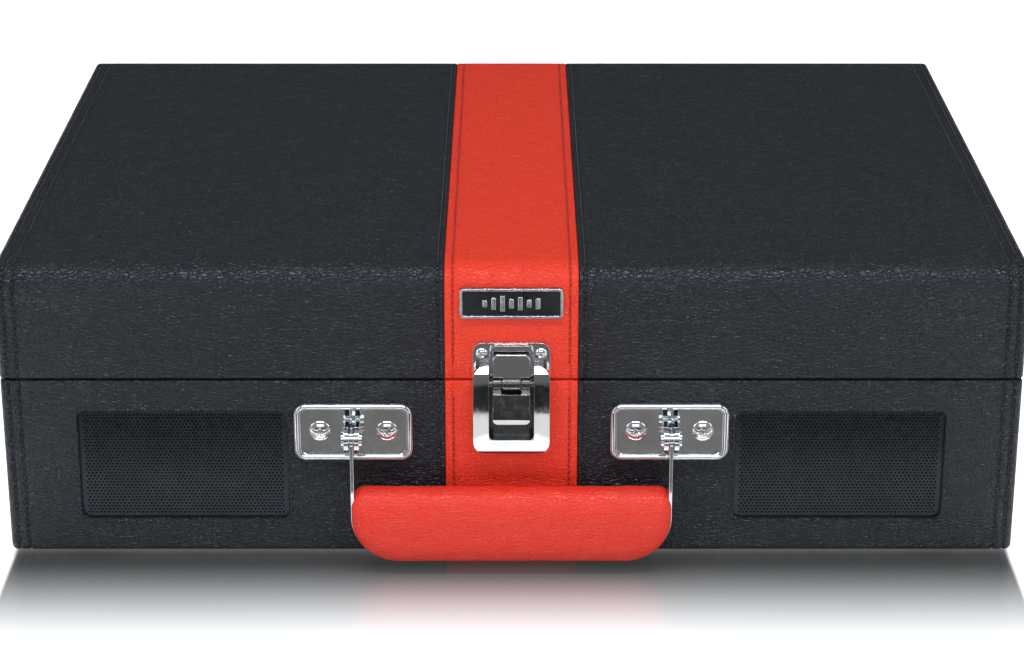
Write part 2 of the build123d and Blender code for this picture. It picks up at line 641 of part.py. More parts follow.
def make_tonearm():
    x, y = ARM
    block = rounded(box(x - 6, x + 6, y - 8, y + 8, ARM_Z - 5.5, ARM_Z + 5.5), Axis.Y, 2)
    tube = rod_y(x, -86, y - 7, ARM_Z, TUBE_R)
    tail = rod_y(x, y + 7, y + 25, ARM_Z, 2.5)
    shell = box(x - 7.5, x + 7.5, -109.4, -84, ARM_Z - 1.2, ARM_Z + 2.0)
    shell = fillet([e for e in shell.edges().filter_by(Axis.Z) if e.center().Y < -100], 3)
    neck = box(x - 4, x + 4, -90, -78, ARM_Z - 3.4, ARM_Z + 3.4)
    neck = rounded(neck, Axis.Y, 1.5)
    finger = box(x + 7, x + 14, -101, -97.5, ARM_Z - 0.2, ARM_Z + 1.0)
    arm = block + tube + tail + shell + neck + finger
    arm -= rod_x(x - 7, x + 7, y, ARM_Z, 1.5 + RUN)
    save("arm_tube", arm)
    weight = rod_y(x, y + 11, y + 23, ARM_Z, 8)
    weight -= rod_y(x, y + 10, y + 24, ARM_Z, 2.52)
    save("counterweight", weight)
    body = box(x - 4.5, x + 4.5, -107, -91, 72.9, ARM_Z - 1.2)
    body = rounded(body, Axis.X, 0.8)
    tip = Pos(x, STYLUS_Y, 72.25) * Rot(X=180) * Cone(1.2, 0.25, 1.5)
    save("cartridge", body + tip)


def make_arm_rest():
    x = ARM[0]
    y = REST_Y
    foot = rod_z(x, y, DECK_TOP, 59.5, 6)
    post = rod_z(x, y, 59, 71, 3)
    saddle = box(x - 6, x + 6, y - 3.5, y + 3.5, 70, 74.1)
    lip = box(x + 4.4, x + 6, y - 3.5, y + 3.5, 73, 80.2)
    rest = foot + post + saddle + lip
    for a, b in ((y - 5, y - 3.5), (y + 3.5, y + 5)):
        rest += box(x + 4.4, x + 9, a, b, 73, 83.3) + rod_y(x + 7.2, a, b, 83.3, 1.8)
    rest += rod_y(x + 7.2, y - 5, y + 5, 83.3, 0.9)
    rest += box(x + 4.4, x + 6, y - 5, y + 5, 73, 76)
    save("arm_rest", rest)
    clip = box(0, 13.5, -3.0, 3.0, -0.9, 0.9) + rod_y(0, -3.0, 3.0, 0, 1.7)
    clip += box(11.9, 13.5, -3.0, 3.0, -0.9, 1.9)
    clip -= rod_y(0, -4, 4, 0, 0.9 + RUN)
    save("arm_clip", Pos(x + 7.2, y, 83.3) * Rot(Y=-75) * clip)


def make_cue():
    lx, ly = LIFT_POST
    base = rounded(box(129.5, 150, 60, 70, DECK_TOP, 67.0), Axis.Z, 1.5)
    base -= rod_z(lx, ly, DECK_TOP + 0.6, 70, 2.0 + RUN)
    base -= rod_x(143, 151, 65, 62.5, 2.0 + RUN)
    save("cue_base", base)
    ring = rod_z(*ARM, 68.2, 70.0, LIFT_R + 1.5) - rod_z(*ARM, 67, 71, LIFT_R - 1.5)
    far = 60
    a0 = math.radians(270 + 7)
    a1 = math.radians(270 - 38)
    wedge = Polygon(
        ARM, (ARM[0] + far * math.cos(a0), ARM[1] + far * math.sin(a0)),
        (ARM[0] + far * math.cos(a1), ARM[1] + far * math.sin(a1)), align=None)
    arc = ring & extrude(Pos(0, 0, 66) * wedge, 8, dir=(0, 0, 1))
    save("lift_bar", arc + rod_z(lx, ly, 59, 69, 2.0))
    lever = rod_x(143.6, 150.4, 65, 62.5, 2.0) + rod_x(150.4, 154, 65, 62.5, 4.0)
    stick = rod_y(152.2, 43, 65, 62.5, 1.5)
    grip = fillet(rod_y(152.2, 38, 46, 62.5, 2.6).edges(), 0.8)
    save("cue_lever", lever + stick + grip)


# ---- controls ----
def make_controls():
    x, y = SPEED
    lever = rod_z(x, y, 50, 58.0, 3.0) + rod_z(x, y, 58.0, 60.4, 7.0)
    lever += box(x, x + 20, y - 2, y + 2, 58.0, 60.4)
    lever += rod_z(x + 20, y, 58.0, 66, 3.0)
    save("speed_lever", lever)
    x, y = SWITCH
    slider = box(x - 1.8, x + 1.8, y - 4.6, y - 0.6, 51, 58.2) + box(x - 4, x + 4, y - 5.6, y + 0.4, 58.0, 62)
    save("autostop_switch", slider)
    x, y = KNOB
    knob = rod_z(x, y, 58.6, 69.4, 9.0)
    knob = fillet(knob.faces().sort_by(Axis.Z)[-1].edges(), 1.0)
    for i in range(24):
        a = math.radians(15 * i)
        knob -= rod_z(x + 9.3 * math.cos(a), y + 9.3 * math.sin(a), 60, 70, 0.7)
    knob -= box(x - 0.5, x + 0.5, y - 8.6, y - 3.0, 68.8, 70)
    save("volume_knob", knob + rod_z(x, y, 46, 59, 3.0))
    x, y = ADAPTER
    adapter = rod_z(x, y, DECK_TOP, DECK_TOP + 4.5, 19.1)
    adapter = fillet(adapter.faces().sort_by(Axis.Z)[-1].edges(), 1.0)
    adapter -= rod_z(x, y, DECK_TOP - 1, DECK_TOP + 6, SPINDLE_R + RUN)
    save("adapter_45", adapter)
    lens = rod_z(*LAMP, 49, 58.0, 2.5) + rod_z(*LAMP, DECK_TOP, 59, 3.2)
    save("power_lamp", lens)


def make_circuit_board():
    z = 43.0
    board = box(92, 155, -86, -12, z, z + 1.6)
    posts = []
    for x, y in ((97, -81), (97, -17), (150, -17), (151, -45)):
        posts.append(rod_z(x, y, z + 1.6, DECK_TOP - DECK_T, 3.0))
    x, y = KNOB
    pot = box(x - 6.8, x + 6.8, y - 8, y + 8, z + 1.6, 52)
    pot += rod_z(x, y, 52, DECK_TOP, 5.0)
    pot -= rod_z(x, y, 45.6, 60, 3.0 + RUN)
    caps = [rod_z(cx, cy, z + 1.6, 53.4, 4) for cx, cy in ((108, -70), (120, -70))]
    chip = box(104, 124, -56, -49, z + 1.6, 48)
    sink = box(104, 124, -48.8, -40, z + 1.6, 53)
    for i in range(4):
        sink -= box(106 + 5 * i, 108.4 + 5 * i, -47, -39, 44, 54)
    plugs = [box(100 + 14 * i, 109 + 14 * i, -33, -26, z + 1.6, 50) for i in range(3)]
    save("circuit_board", board, *posts, pot, *caps, chip, sink, *plugs)


# ---- rear sockets ----
def make_rear_panel():
    panel = rounded(box(-48, 48, BACK, BACK + 1.5, 14, 54), Axis.Y, 2.5)
    for x in RCA_X:
        panel -= rod_y(x, BACK - 1, BACK + 2, SOCKET_Z, 5.4)
    panel -= rod_y(PHONES_X, BACK - 1, BACK + 2, SOCKET_Z, 3.52)
    panel -= rod_y(DC_X, BACK - 1, BACK + 2, SOCKET_Z, 4.52)
    panel = drilled(panel, panel_screw_spots(), 1.3, 7)
    save("rear_panel", panel)


def make_sockets():
    rca = []
    for x in RCA_X:
        jack = rod_y(x, BACK - 0.5, BACK + 9.5, SOCKET_Z, 4.15) + rod_y(x, BACK - 8, BACK, SOCKET_Z, 6.2)
        jack -= rod_y(x, BACK - 2, BACK + 10, SOCKET_Z, 1.7)
        rca.append(jack)
    save("rca_jacks", *rca)
    phones = rod_y(PHONES_X, BACK - 1, BACK + 2.6, SOCKET_Z, 3.5) + box(
        PHONES_X - 4, PHONES_X + 4, BACK - 13, BACK, SOCKET_Z - 4, SOCKET_Z + 4)
    phones -= rod_y(PHONES_X, BACK - 11.4, BACK + 3, SOCKET_Z, 1.8)
    save("headphone_jack", phones)
    dc = rod_y(DC_X, BACK - 1, BACK + 2.6, SOCKET_Z, 4.5) + box(
        DC_X - 5, DC_X + 5, BACK - 11, BACK, SOCKET_Z - 5, SOCKET_Z + 5)
    dc -= rod_y(DC_X, BACK - 7.4, BACK + 3, SOCKET_Z, 2.8)
    dc += rod_y(DC_X, BACK - 8, BACK + 1.6, SOCKET_Z, 1.05)
    save("dc_jack", dc)


def wire(points, r=0.9):
    path = FilletPolyline(*points, radius=4)
    start = Plane(origin=path @ 0, z_dir=path % 0)
    return sweep(start * Circle(r), path)


def make_wiring():
    px, py = pulley_centre()
    y_mag = FRONT + SKIN + BASE_WALL + 19
    runs = [
        [(SPEAKER_X, y_mag + 0.2, 24), (SPEAKER_X, y_mag + 8, 24), (84, y_mag + 8, 24), (84, -60, 24),
         (104, -60, 24), (104, -60, 42.8)],
        [(-SPEAKER_X, y_mag + 0.2, 24), (-SPEAKER_X, y_mag + 8, 24), (-95, y_mag + 8, 24), (-95, -28, 24),
         (112, -28, 24), (112, -28, 42.8)],
        [(px, py, 30.8), (px, py, 19), (108, py, 19), (108, py, 42.8)],
        [(RCA_X[0], BACK - 8.2, SOCKET_Z), (RCA_X[0], 100, SOCKET_Z), (124, 100, SOCKET_Z), (124, -22, SOCKET_Z),
         (124, -22, 42.8)],
        [(DC_X, BACK - 11.2, SOCKET_Z - 3), (DC_X, 94, SOCKET_Z - 3), (134, 94, SOCKET_Z - 3),
         (134, -22, SOCKET_Z - 3), (134, -22, 42.8)]]
    save("wiring", *[wire(r) for r in runs])


os.makedirs("parts", exist_ok=True)
make_base_box()
make_base_covers()
make_feet()
make_lid_box()
make_lid_covers()
make_lid_lining()
make_nameplate()
make_speaker_grilles()
make_speakers()
make_handle_brackets()
make_handle_grip(make_handle_bail())
make_latch_frame()
make_latch_catch()
make_latch_lever()
make_latch_hook()
make_hinges()
make_screws()
make_deck_plate()
make_platter()
make_spindle()
make_belt()
make_motor()
make_arm_base()
make_tonearm()
make_arm_rest()
make_cue()
make_controls()
make_circuit_board()
make_rear_panel()
make_sockets()
make_wiring()
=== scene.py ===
import json
import math
import random

import bmesh
import bpy
from mathutils import Euler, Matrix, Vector, noise

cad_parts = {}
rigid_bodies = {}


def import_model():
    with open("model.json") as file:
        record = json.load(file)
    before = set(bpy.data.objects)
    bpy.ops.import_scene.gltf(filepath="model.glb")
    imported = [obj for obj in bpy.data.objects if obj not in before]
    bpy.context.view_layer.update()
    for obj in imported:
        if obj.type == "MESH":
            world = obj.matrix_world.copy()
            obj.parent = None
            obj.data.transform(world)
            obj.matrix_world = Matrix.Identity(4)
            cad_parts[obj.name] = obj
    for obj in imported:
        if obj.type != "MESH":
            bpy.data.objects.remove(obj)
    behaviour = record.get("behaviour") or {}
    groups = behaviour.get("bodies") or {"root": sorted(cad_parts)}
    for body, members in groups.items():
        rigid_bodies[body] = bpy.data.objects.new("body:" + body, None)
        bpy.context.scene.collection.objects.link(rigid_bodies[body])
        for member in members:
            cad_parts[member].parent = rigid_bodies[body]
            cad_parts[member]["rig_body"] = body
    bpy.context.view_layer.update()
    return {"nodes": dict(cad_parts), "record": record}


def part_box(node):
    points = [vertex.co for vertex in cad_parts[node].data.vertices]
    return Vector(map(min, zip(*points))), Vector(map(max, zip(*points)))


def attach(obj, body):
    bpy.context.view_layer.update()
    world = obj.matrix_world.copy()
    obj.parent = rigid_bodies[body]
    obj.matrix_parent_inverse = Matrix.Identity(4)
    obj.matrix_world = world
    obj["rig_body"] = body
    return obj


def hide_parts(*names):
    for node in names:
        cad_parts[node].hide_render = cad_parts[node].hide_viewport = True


# Suitcase record player: leatherette skins with seams and stitches, perforated grilles, a padded
# grip and eased metalwork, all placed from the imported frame. Lengths here are millimetres.
MM = 0.001
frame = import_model()
nodes = frame["nodes"]
scene = bpy.context.scene
rng = random.Random(11)


def box_mm(node):
    lo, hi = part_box(node)
    return Vector(lo) / MM, Vector(hi) / MM


# ---- driving places, read from the frame ----
lid_lo, lid_hi = box_mm("lid_cover_black")
base_lo, base_hi = box_mm("base_cover_black")
FRONT = base_lo.y
BACK = base_hi.y
HALF = base_hi.x
TOP = lid_hi.z
RIM_LID = lid_lo.z
RIM_BASE = base_hi.z
BOTTOM = base_lo.z
STRIPE = box_mm("base_cover_red")[1].x

# ---- latch: its recess in the frame, and its pin ----
RECESS_HALF = 7.7
RECESS_LOW = 47.8
RECESS_FACE = 6.4
PIN_Z = (box_mm("latch_pin")[0].z + box_mm("latch_pin")[1].z) / 2

# ---- rear sockets: the opening in the back wall behind their panel ----
SOCKET_BAY_X = 42.0
SOCKET_BAY_Z = (19.0, 49.0)

# ---- leatherette ----
SKIN = 0.95
LID_BEND = 9.0
BASE_BEND = 3.0
END_ROUND = 2.0
SEAM_ROUND = 0.7
RIM_ROUND = 0.7
LID_WALL_IN = 7.0
BASE_WALL_IN = 9.0
BLACK_ROWS = (STRIPE + 2.2, 168.5, 172.0)
RED_ROW = STRIPE - 2.9
STITCH_PITCH = 2.15
STITCH_LENGTH = 1.55
STITCH_R = 0.38
STITCH_DIP = 0.46

# ---- grilles ----
HOLE_PITCH = 1.33
HOLE_ROW = 1.15
HOLE_R = 0.42
GRILLE_BORDER = 1.0
GRILLE_CORNER = 2.8
GRILLE_THICK = 0.5
GRILLE_BACK = 2.22
CLOTH_BACK = 2.46


# ------------------------------------------------------------------ materials
class Look:
    """A node material on one Principled shader, in object coordinates."""

    def __init__(self, name, color, roughness, metallic=0.0, **sockets):
        self.mat = bpy.data.materials.new(name)
        self.mat.use_nodes = True
        self.tree = self.mat.node_tree
        self.bsdf = self.tree.nodes["Principled BSDF"]
        self.bsdf.inputs["Base Color"].default_value = (*color, 1)
        self.bsdf.inputs["Roughness"].default_value = roughness
        self.bsdf.inputs["Metallic"].default_value = metallic
        for socket, value in sockets.items():
            self.bsdf.inputs[socket.replace("_", " ")].default_value = value
        self.place = self.add("ShaderNodeTexCoord").outputs["Object"]

    def add(self, kind, **settings):
        node = self.tree.nodes.new(kind)
        for key, value in settings.items():
            setattr(node, key, value)
        return node

    def link(self, out, socket):
        self.tree.links.new(out, socket)

    def math(self, operation, a, b=0.0, c=None):
        node = self.add("ShaderNodeMath", operation=operation)
        for socket, value in zip(node.inputs, (a, b, c)):
            if isinstance(value, bpy.types.NodeSocket):
                self.link(value, socket)
            elif value is not None:
                socket.default_value = value
        return node.outputs[0]

    def stretched(self, stretch, wander=0.0, wander_size=2.0):
        """Object coordinates in millimetres, squeezed along each axis and nudged by noise."""
        scaled = self.add("ShaderNodeVectorMath", operation="MULTIPLY")
        scaled.inputs[1].default_value = [1000.0 * s for s in stretch]
        self.link(self.place, scaled.inputs[0])
        if not wander:
            return scaled.outputs[0]
        drift = self.add("ShaderNodeTexNoise")
        drift.inputs["Scale"].default_value = 1.0 / wander_size
        drift.inputs["Detail"].default_value = 2.0
        self.link(scaled.outputs[0], drift.inputs["Vector"])
        push = self.add("ShaderNodeVectorMath", operation="MULTIPLY_ADD")
        push.inputs[1].default_value = (wander, wander, wander)
        self.link(drift.outputs["Color"], push.inputs[0])
        self.link(scaled.outputs[0], push.inputs[2])
        return push.outputs[0]

    def noise(self, size, detail=3.0, stretch=(1, 1, 1)):
        """Noise whose patches are about size millimetres across, from 0 to 1."""
        tex = self.add("ShaderNodeTexNoise")
        tex.inputs["Scale"].default_value = 1.0 / size
        tex.inputs["Detail"].default_value = detail
        self.link(self.stretched(stretch), tex.inputs["Vector"])
        return tex.outputs["Fac"]

    def cells(self, size, stretch=(1, 1, 1), wander=0.8, feature="DISTANCE_TO_EDGE"):
        """Pebbles about size millimetres across: 0 in the creases, rising inside."""
        tex = self.add("ShaderNodeTexVoronoi", feature=feature)
        tex.inputs["Scale"].default_value = 1.0 / size
        self.link(self.stretched(stretch, wander), tex.inputs["Vector"])
        return tex.outputs["Distance"]

    def ramp(self, value, low, high, to_low=0.0, to_high=1.0):
        node = self.add("ShaderNodeMapRange", interpolation_type="SMOOTHSTEP")
        ends = {"From Min": low, "From Max": high, "To Min": to_low, "To Max": to_high}
        for socket, number in ends.items():
            node.inputs[socket].default_value = number
        self.link(value, node.inputs["Value"])
        return node.outputs["Result"]

    def tint(self, factor, color_a, color_b):
        mix = self.add("ShaderNodeMix", data_type="RGBA")
        mix.inputs[6].default_value = (*color_a, 1)
        mix.inputs[7].default_value = (*color_b, 1)
        self.link(factor, mix.inputs[0])
        self.link(mix.outputs[2], self.bsdf.inputs["Base Color"])

    def rough(self, factor, low, high):
        self.link(self.ramp(factor, 0.25, 0.75, low, high), self.bsdf.inputs["Roughness"])

    def bump(self, height, depth, strength=1.0):
        """Adds relief of depth millimetres on top of any relief already there."""
        node = self.add("ShaderNodeBump")
        node.inputs["Strength"].default_value = strength
        node.inputs["Distance"].default_value = depth * MM
        self.link(height, node.inputs["Height"])
        below = self.bsdf.inputs["Normal"].links
        if below:
            self.link(below[0].from_socket, node.inputs["Normal"])
        self.link(node.outputs["Normal"], self.bsdf.inputs["Normal"])


def leather(name, light, dark, low, high, grain=1.25, depth=0.16, level=0.5):
    """Pressed leatherette: pebbles with creases between them, longer across than up."""
    look = Look(name, light, low, Specular_IOR_Level=level)
    pebble = look.ramp(look.cells(grain, (0.6, 1.0, 1.0), 1.7), 0.0, 0.2)
    fine = look.noise(0.6, 4.0, (0.8, 1, 1))
    folds = look.ramp(look.noise(4.5, 4.0, (0.55, 1, 1)), 0.4, 0.64)
    height = look.math("MULTIPLY", pebble, look.math("MULTIPLY_ADD", fine, 0.6, 0.6))
    height = look.math("MULTIPLY_ADD", folds, 0.5, height)
    shade = look.math("MULTIPLY_ADD", pebble, 0.3, look.math("MULTIPLY", fine, 0.5))
    look.tint(look.math("MULTIPLY_ADD", folds, 0.25, shade), dark, light)
    worn = look.math("MULTIPLY", folds, 0.4)
    look.rough(look.math("MULTIPLY_ADD", fine, 0.5, worn), high, low)
    look.bump(look.noise(14.0, 2.0), 0.3, 0.4)
    look.bump(height, depth)
    return look.mat


def metal(name, color, low, high, depth=0.01, streak=(1, 1, 1), size=3.0, **sockets):
    """Plated or turned metal: even shine with faint handling marks."""
    look = Look(name, color, low, 1.0, **sockets)
    marks = look.noise(size, 6.0, streak)
    darker = [0.86 * c for c in color]
    look.tint(look.ramp(look.noise(11.0, 3.0), 0.3, 0.7), darker, color)
    look.rough(marks, low, high)
    look.bump(marks, depth)
    return look.mat


def chrome_with_painted_shade(name, bright, shade_tint, recess):
    """Chrome with painted shade: darker and rougher round the latch pin, and inside the recess where recess
    is 1.
    """
    look = Look(name, bright, 0.09, 1.0)
    spot = look.add("ShaderNodeSeparateXYZ")
    look.link(look.place, spot.inputs[0])
    x, y, z = [look.math("MULTIPLY", out, 1000.0) for out in spot.outputs]
    # painted shade: the inside of the latch recess is darkened where shade falls in it
    aside = look.ramp(look.math("ABSOLUTE", x), RECESS_HALF - 0.05, RECESS_HALF + 0.1, 1.0, 0.0)
    sunk = look.ramp(y, FRONT - RECESS_FACE + 0.1, FRONT - RECESS_FACE + 0.9)
    above = look.ramp(z, RECESS_LOW - 0.2, RECESS_LOW + 0.2)
    inside = look.math("MULTIPLY", sunk, look.math("MULTIPLY", aside, above))
    inside = look.math("MULTIPLY", inside, recess)
    # painted shade: the knuckles round the latch pin are darkened where shade falls between the parts
    near_pin = look.ramp(look.math("ABSOLUTE", look.math("SUBTRACT", z, PIN_Z)), 2.3, 2.6, 1.0, 0.0)
    shade = look.math("MAXIMUM", inside, look.math("MULTIPLY", near_pin, aside))
    look.tint(look.math("MULTIPLY_ADD", look.noise(6.0, 3.0), 0.12, shade), bright, shade_tint)
    marks = look.noise(2.0, 5.0)
    rough = look.math("MULTIPLY_ADD", shade, 0.2, look.ramp(marks, 0.25, 0.75, 0.05, 0.12))
    look.link(rough, look.bsdf.inputs["Roughness"])
    look.bump(marks, 0.004)
    return look.mat


def moulded(name, color, low, high, grain=0.35, depth=0.02, **sockets):
    """Moulded plastic or rubber: fine spark-eroded texture and slight shade changes."""
    look = Look(name, color, low, **sockets)
    speck = look.noise(grain, 3.0)
    paler = [min(1.0, 1.25 * c + 0.004) for c in color]
    look.tint(look.ramp(look.noise(9.0, 3.0), 0.3, 0.75), color, paler)
    look.rough(look.noise(2.4, 4.0), low, high)
    look.bump(speck, depth)
    return look.mat


def woven(name, color, other, size=0.7, depth=0.15):
    """Brushed cloth: crossed threads under a soft nap."""
    look = Look(name, color, 0.9, Sheen_Weight=0.25, Sheen_Roughness=0.5)
    warp = look.add("ShaderNodeTexWave", wave_type="BANDS", bands_direction="DIAGONAL")
    warp.inputs["Scale"].default_value = 0.35 / size
    warp.inputs["Distortion"].default_value = 1.6
    look.link(look.stretched((1, 1, 1)), warp.inputs["Vector"])
    look.tint(look.noise(1.1, 5.0), color, other)
    look.bump(warp.outputs["Fac"], depth)
    look.bump(look.noise(0.4, 4.0), 0.1)
    return look.mat


def turned(name, color, centre, low, high, pitch=0.5, depth=0.01):
    """Metal turned about an upright axis: fine rings round the centre."""
    look = Look(name, color, low, 1.0, Anisotropic=0.5)
    shift = look.add("ShaderNodeVectorMath", operation="SUBTRACT")
    shift.inputs[1].default_value = (centre[0] * MM, centre[1] * MM, 0)
    look.link(look.place, shift.inputs[0])
    flat = look.add("ShaderNodeVectorMath", operation="MULTIPLY")
    flat.inputs[1].default_value = (1000, 1000, 0)
    look.link(shift.outputs[0], flat.inputs[0])
    reach = look.add("ShaderNodeVectorMath", operation="LENGTH")
    look.link(flat.outputs[0], reach.inputs[0])
    ring = look.add("ShaderNodeTexNoise", noise_dimensions="1D")
    ring.inputs["Scale"].default_value = 1.0 / pitch
    ring.inputs["Detail"].default_value = 3.0
    look.link(reach.outputs["Value"], ring.inputs["W"])
    look.tint(look.noise(14.0, 3.0), [0.85 * c for c in color], color)
    look.rough(ring.outputs["Fac"], low, high)
    look.bump(ring.outputs["Fac"], depth)
    return look.mat


BLACK = leather(
    "black leatherette", (0.0072, 0.0100, 0.0155), (0.004, 0.005, 0.008), 0.27, 0.42, 1.25, 0.32, 0.44)
RED = leather(
    "red leatherette", (0.84, 0.046, 0.016), (0.72, 0.030, 0.010), 0.32, 0.48, 1.15, 0.19, 0.32)
GRIP_RED = leather(
    "red grip leather", (0.82, 0.038, 0.015), (0.72, 0.024, 0.010), 0.30, 0.46, 1.25, 0.18, 0.42)
BLACK_THREAD = moulded("black thread", (0.012, 0.013, 0.016), 0.36, 0.5, 0.25, 0.08)
RED_THREAD = moulded("red thread", (0.30, 0.010, 0.008), 0.5, 0.7, 0.25, 0.08)
CHROME = metal("chrome plate", (0.80, 0.80, 0.81), 0.05, 0.13, 0.004)
RECESS_SHADED_CHROME = chrome_with_painted_shade("chrome with painted recess shade", (0.80, 0.80, 0.81), (0.10, 0.09, 0.085), 1.0)
PIN_SHADED_CHROME = chrome_with_painted_shade("latch chrome with painted pin shade", (0.80, 0.80, 0.81), (0.10, 0.09, 0.085), 0.0)
STEEL = metal("zinc steel", (0.62, 0.62, 0.61), 0.22, 0.4, 0.02, (1, 1, 1), 1.5)
MESH = metal("black lacquered mesh", (0.050, 0.053, 0.060), 0.25, 0.4, 0.01)
CLOTH = woven("black speaker cloth", (0.004, 0.004, 0.005), (0.008, 0.008, 0.009), 0.5, 0.05)
SPINDLE = box_mm("platter")[0].lerp(box_mm("platter")[1], 0.5)
BY_SLOT = {
    "black_leatherette": BLACK,
    "red_leatherette": RED,
    "board": moulded("fibreboard", (0.36, 0.25, 0.15), 0.8, 0.95, 0.9, 0.12),
    "foot_rubber": moulded("foot rubber", (0.012, 0.012, 0.013), 0.6, 0.8),
    "mesh_black": MESH,
    "steel": STEEL,
    "chrome": CHROME,
    "paper_cone": moulded("paper cone", (0.02, 0.019, 0.018), 0.75, 0.92, 0.8, 0.12),
    "foam": moulded("foam", (0.08, 0.08, 0.075), 0.85, 0.95, 1.2, 0.3),
    "lining": woven("lid lining", (0.018, 0.018, 0.020), (0.035, 0.035, 0.038)),
    "plate_black": moulded("badge lacquer", (0.008, 0.008, 0.009), 0.14, 0.24, 1.4, 0.004),
    "trim_silver": metal("badge silver", (0.72, 0.73, 0.75), 0.16, 0.3, 0.001),
    "deck_black": moulded("deck plate", (0.014, 0.015, 0.017), 0.34, 0.46, 0.3, 0.03),
    "plastic_black": moulded("black plastic", (0.016, 0.016, 0.018), 0.28, 0.42, 0.3, 0.02),
    "platter_metal": turned("platter metal", (0.62, 0.63, 0.65), SPINDLE, 0.2, 0.36),
    "mat": moulded("platter mat", (0.016, 0.016, 0.017), 0.72, 0.9, 0.5, 0.06),
    "brass": metal("brass", (0.62, 0.42, 0.17), 0.2, 0.36, 0.01),
    "belt_rubber": moulded("belt rubber", (0.01, 0.01, 0.01), 0.5, 0.66),
    "pickup_red": moulded("pickup red", (0.55, 0.02, 0.015), 0.22, 0.36, 0.4, 0.01),
    "lamp_red": moulded("lamp red", (0.6, 0.012, 0.01), 0.1, 0.2, 0.8, 0.01, Coat_Weight=0.6),
    "board_green": moulded("circuit board", (0.012, 0.09, 0.035), 0.35, 0.5, 0.8, 0.03),
    "wire_insulation": moulded("wire sleeve", (0.30, 0.02, 0.016), 0.4, 0.55),
    "adapter": moulded("adapter", (0.05, 0.05, 0.052), 0.26, 0.4, 0.4, 0.015),
}
SLOT_OF = {part["node"]: part["material_slot"] for part in frame["record"]["subparts"]}
MATERIAL_OF = {node: BY_SLOT[SLOT_OF[node]] for node in nodes}
# the latch frame, pin, lever and hook get chrome with painted shade in the recess and round the pin
MATERIAL_OF["latch_frame"] = RECESS_SHADED_CHROME
for name in ("latch_pin", "latch_lever", "latch_hook"):
    MATERIAL_OF[name] = PIN_SHADED_CHROME
for node, obj in nodes.items():
    obj.data.materials.clear()
    obj.data.materials.append(MATERIAL_OF[node])


# ------------------------------------------------------------------ mesh helpers
def finish_mesh(mesh, crease):
    made = bmesh.new()
    made.from_mesh(mesh)
    bmesh.ops.remove_doubles(made, verts=made.verts, dist=1e-6)
    bmesh.ops.dissolve_degenerate(made, edges=made.edges, dist=1e-7)
    bmesh.ops.recalc_face_normals(made, faces=made.faces)
    made.to_mesh(mesh)
    made.free()
    mesh.shade_smooth()
    mesh.set_sharp_from_angle(angle=math.radians(crease))


def piece(name, verts, faces, body, slot, material, stands_for=(), crease=35):
    """A mesh given in millimetres, as a named piece that rides on a body."""
    mesh = bpy.data.meshes.new(name)
    mesh.from_pydata([Vector(v) * MM for v in verts], [], faces)
    finish_mesh(mesh, crease)
    mesh.materials.append(material)
    obj = bpy.data.objects.new(name, mesh)
    scene.collection.objects.link(obj)
    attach(obj, body)
    if stands_for:
        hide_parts(*stands_for)
    return obj


def softened(node, width, steps=2, crease=30):
    """A copy of a CAD node with its sharp edges eased, which stands for that node."""
    source = nodes[node]
    mesh = source.data.copy()
    made = bmesh.new()
    made.from_mesh(mesh)
    bmesh.ops.remove_doubles(made, verts=made.verts, dist=2e-6)
    bmesh.ops.dissolve_limit(made, angle_limit=math.radians(1.0), verts=made.verts, edges=made.edges)
    limit = math.radians(crease)
    sharp = [e for e in made.edges if len(e.link_faces) == 2 and e.calc_face_angle(0) > limit]
    bmesh.ops.bevel(
        made, geom=sharp, offset=width * MM, offset_type="OFFSET", segments=steps, profile=0.5,
        affect="EDGES", clamp_overlap=True)
    bmesh.ops.remove_doubles(made, verts=made.verts, dist=1e-6)
    bmesh.ops.dissolve_degenerate(made, edges=made.edges, dist=1e-7)
    made.to_mesh(mesh)
    made.free()
    mesh.shade_smooth()
    mesh.set_sharp_from_angle(angle=math.radians(crease + 8))
    mesh.materials.clear()
    mesh.materials.append(MATERIAL_OF[node])
    obj = bpy.data.objects.new(node + "_eased", mesh)
    scene.collection.objects.link(obj)
    obj.modifiers.new("even shading", "WEIGHTED_NORMAL").keep_sharp = True
    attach(obj, source["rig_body"])
    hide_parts(node)
    return obj


def spread(lo, hi, step):
    """Evenly spaced values from lo to hi, no further apart than step."""
    count = max(1, math.ceil((hi - lo) / step))
    return [lo + (hi - lo) * i / count for i in range(count + 1)]


def rounding(depth, radius):
    """How far a rounded edge falls back at a place depth inside that edge."""
    if depth >= radius:
        return 0.0
    return radius - math.sqrt(max(0.0, radius * radius - (radius - depth) ** 2))


# ------------------------------------------------------------------ skins
def wrap_path(rim, far, bend):
    """The skin's line from the front rim round the far face to the back rim: (y, z, ny, nz)."""
    up = 1 if far > rim else -1
    tall = abs(far - rim)
    rises = [0, 0.08, 0.22, 0.42, RIM_ROUND] + spread(RIM_ROUND, tall - bend, 5.0)[1:]
    front = [(FRONT, rim + up * h, -1.0, 0.0) for h in rises]
    turns = [math.radians(90 * i / 10) for i in range(1, 11)]
    for a in turns:
        c, s = math.cos(a), math.sin(a)
        front.append((FRONT + bend * (1 - c), far - up * bend * (1 - s), -c, up * s))
    flat = [(y, far, 0.0, float(up)) for y in spread(FRONT + bend, BACK - bend, 9.0)[1:-1]]
    back = [(FRONT + BACK - y, z, -ny, nz) for y, z, ny, nz in reversed(front)]
    return front, flat, back


def sewn_dip(x, rows):
    """How far the leather is pulled in at x by the sewn rows."""
    return sum(STITCH_DIP * math.exp(-((x - row) / 0.42) ** 2) for row in rows)


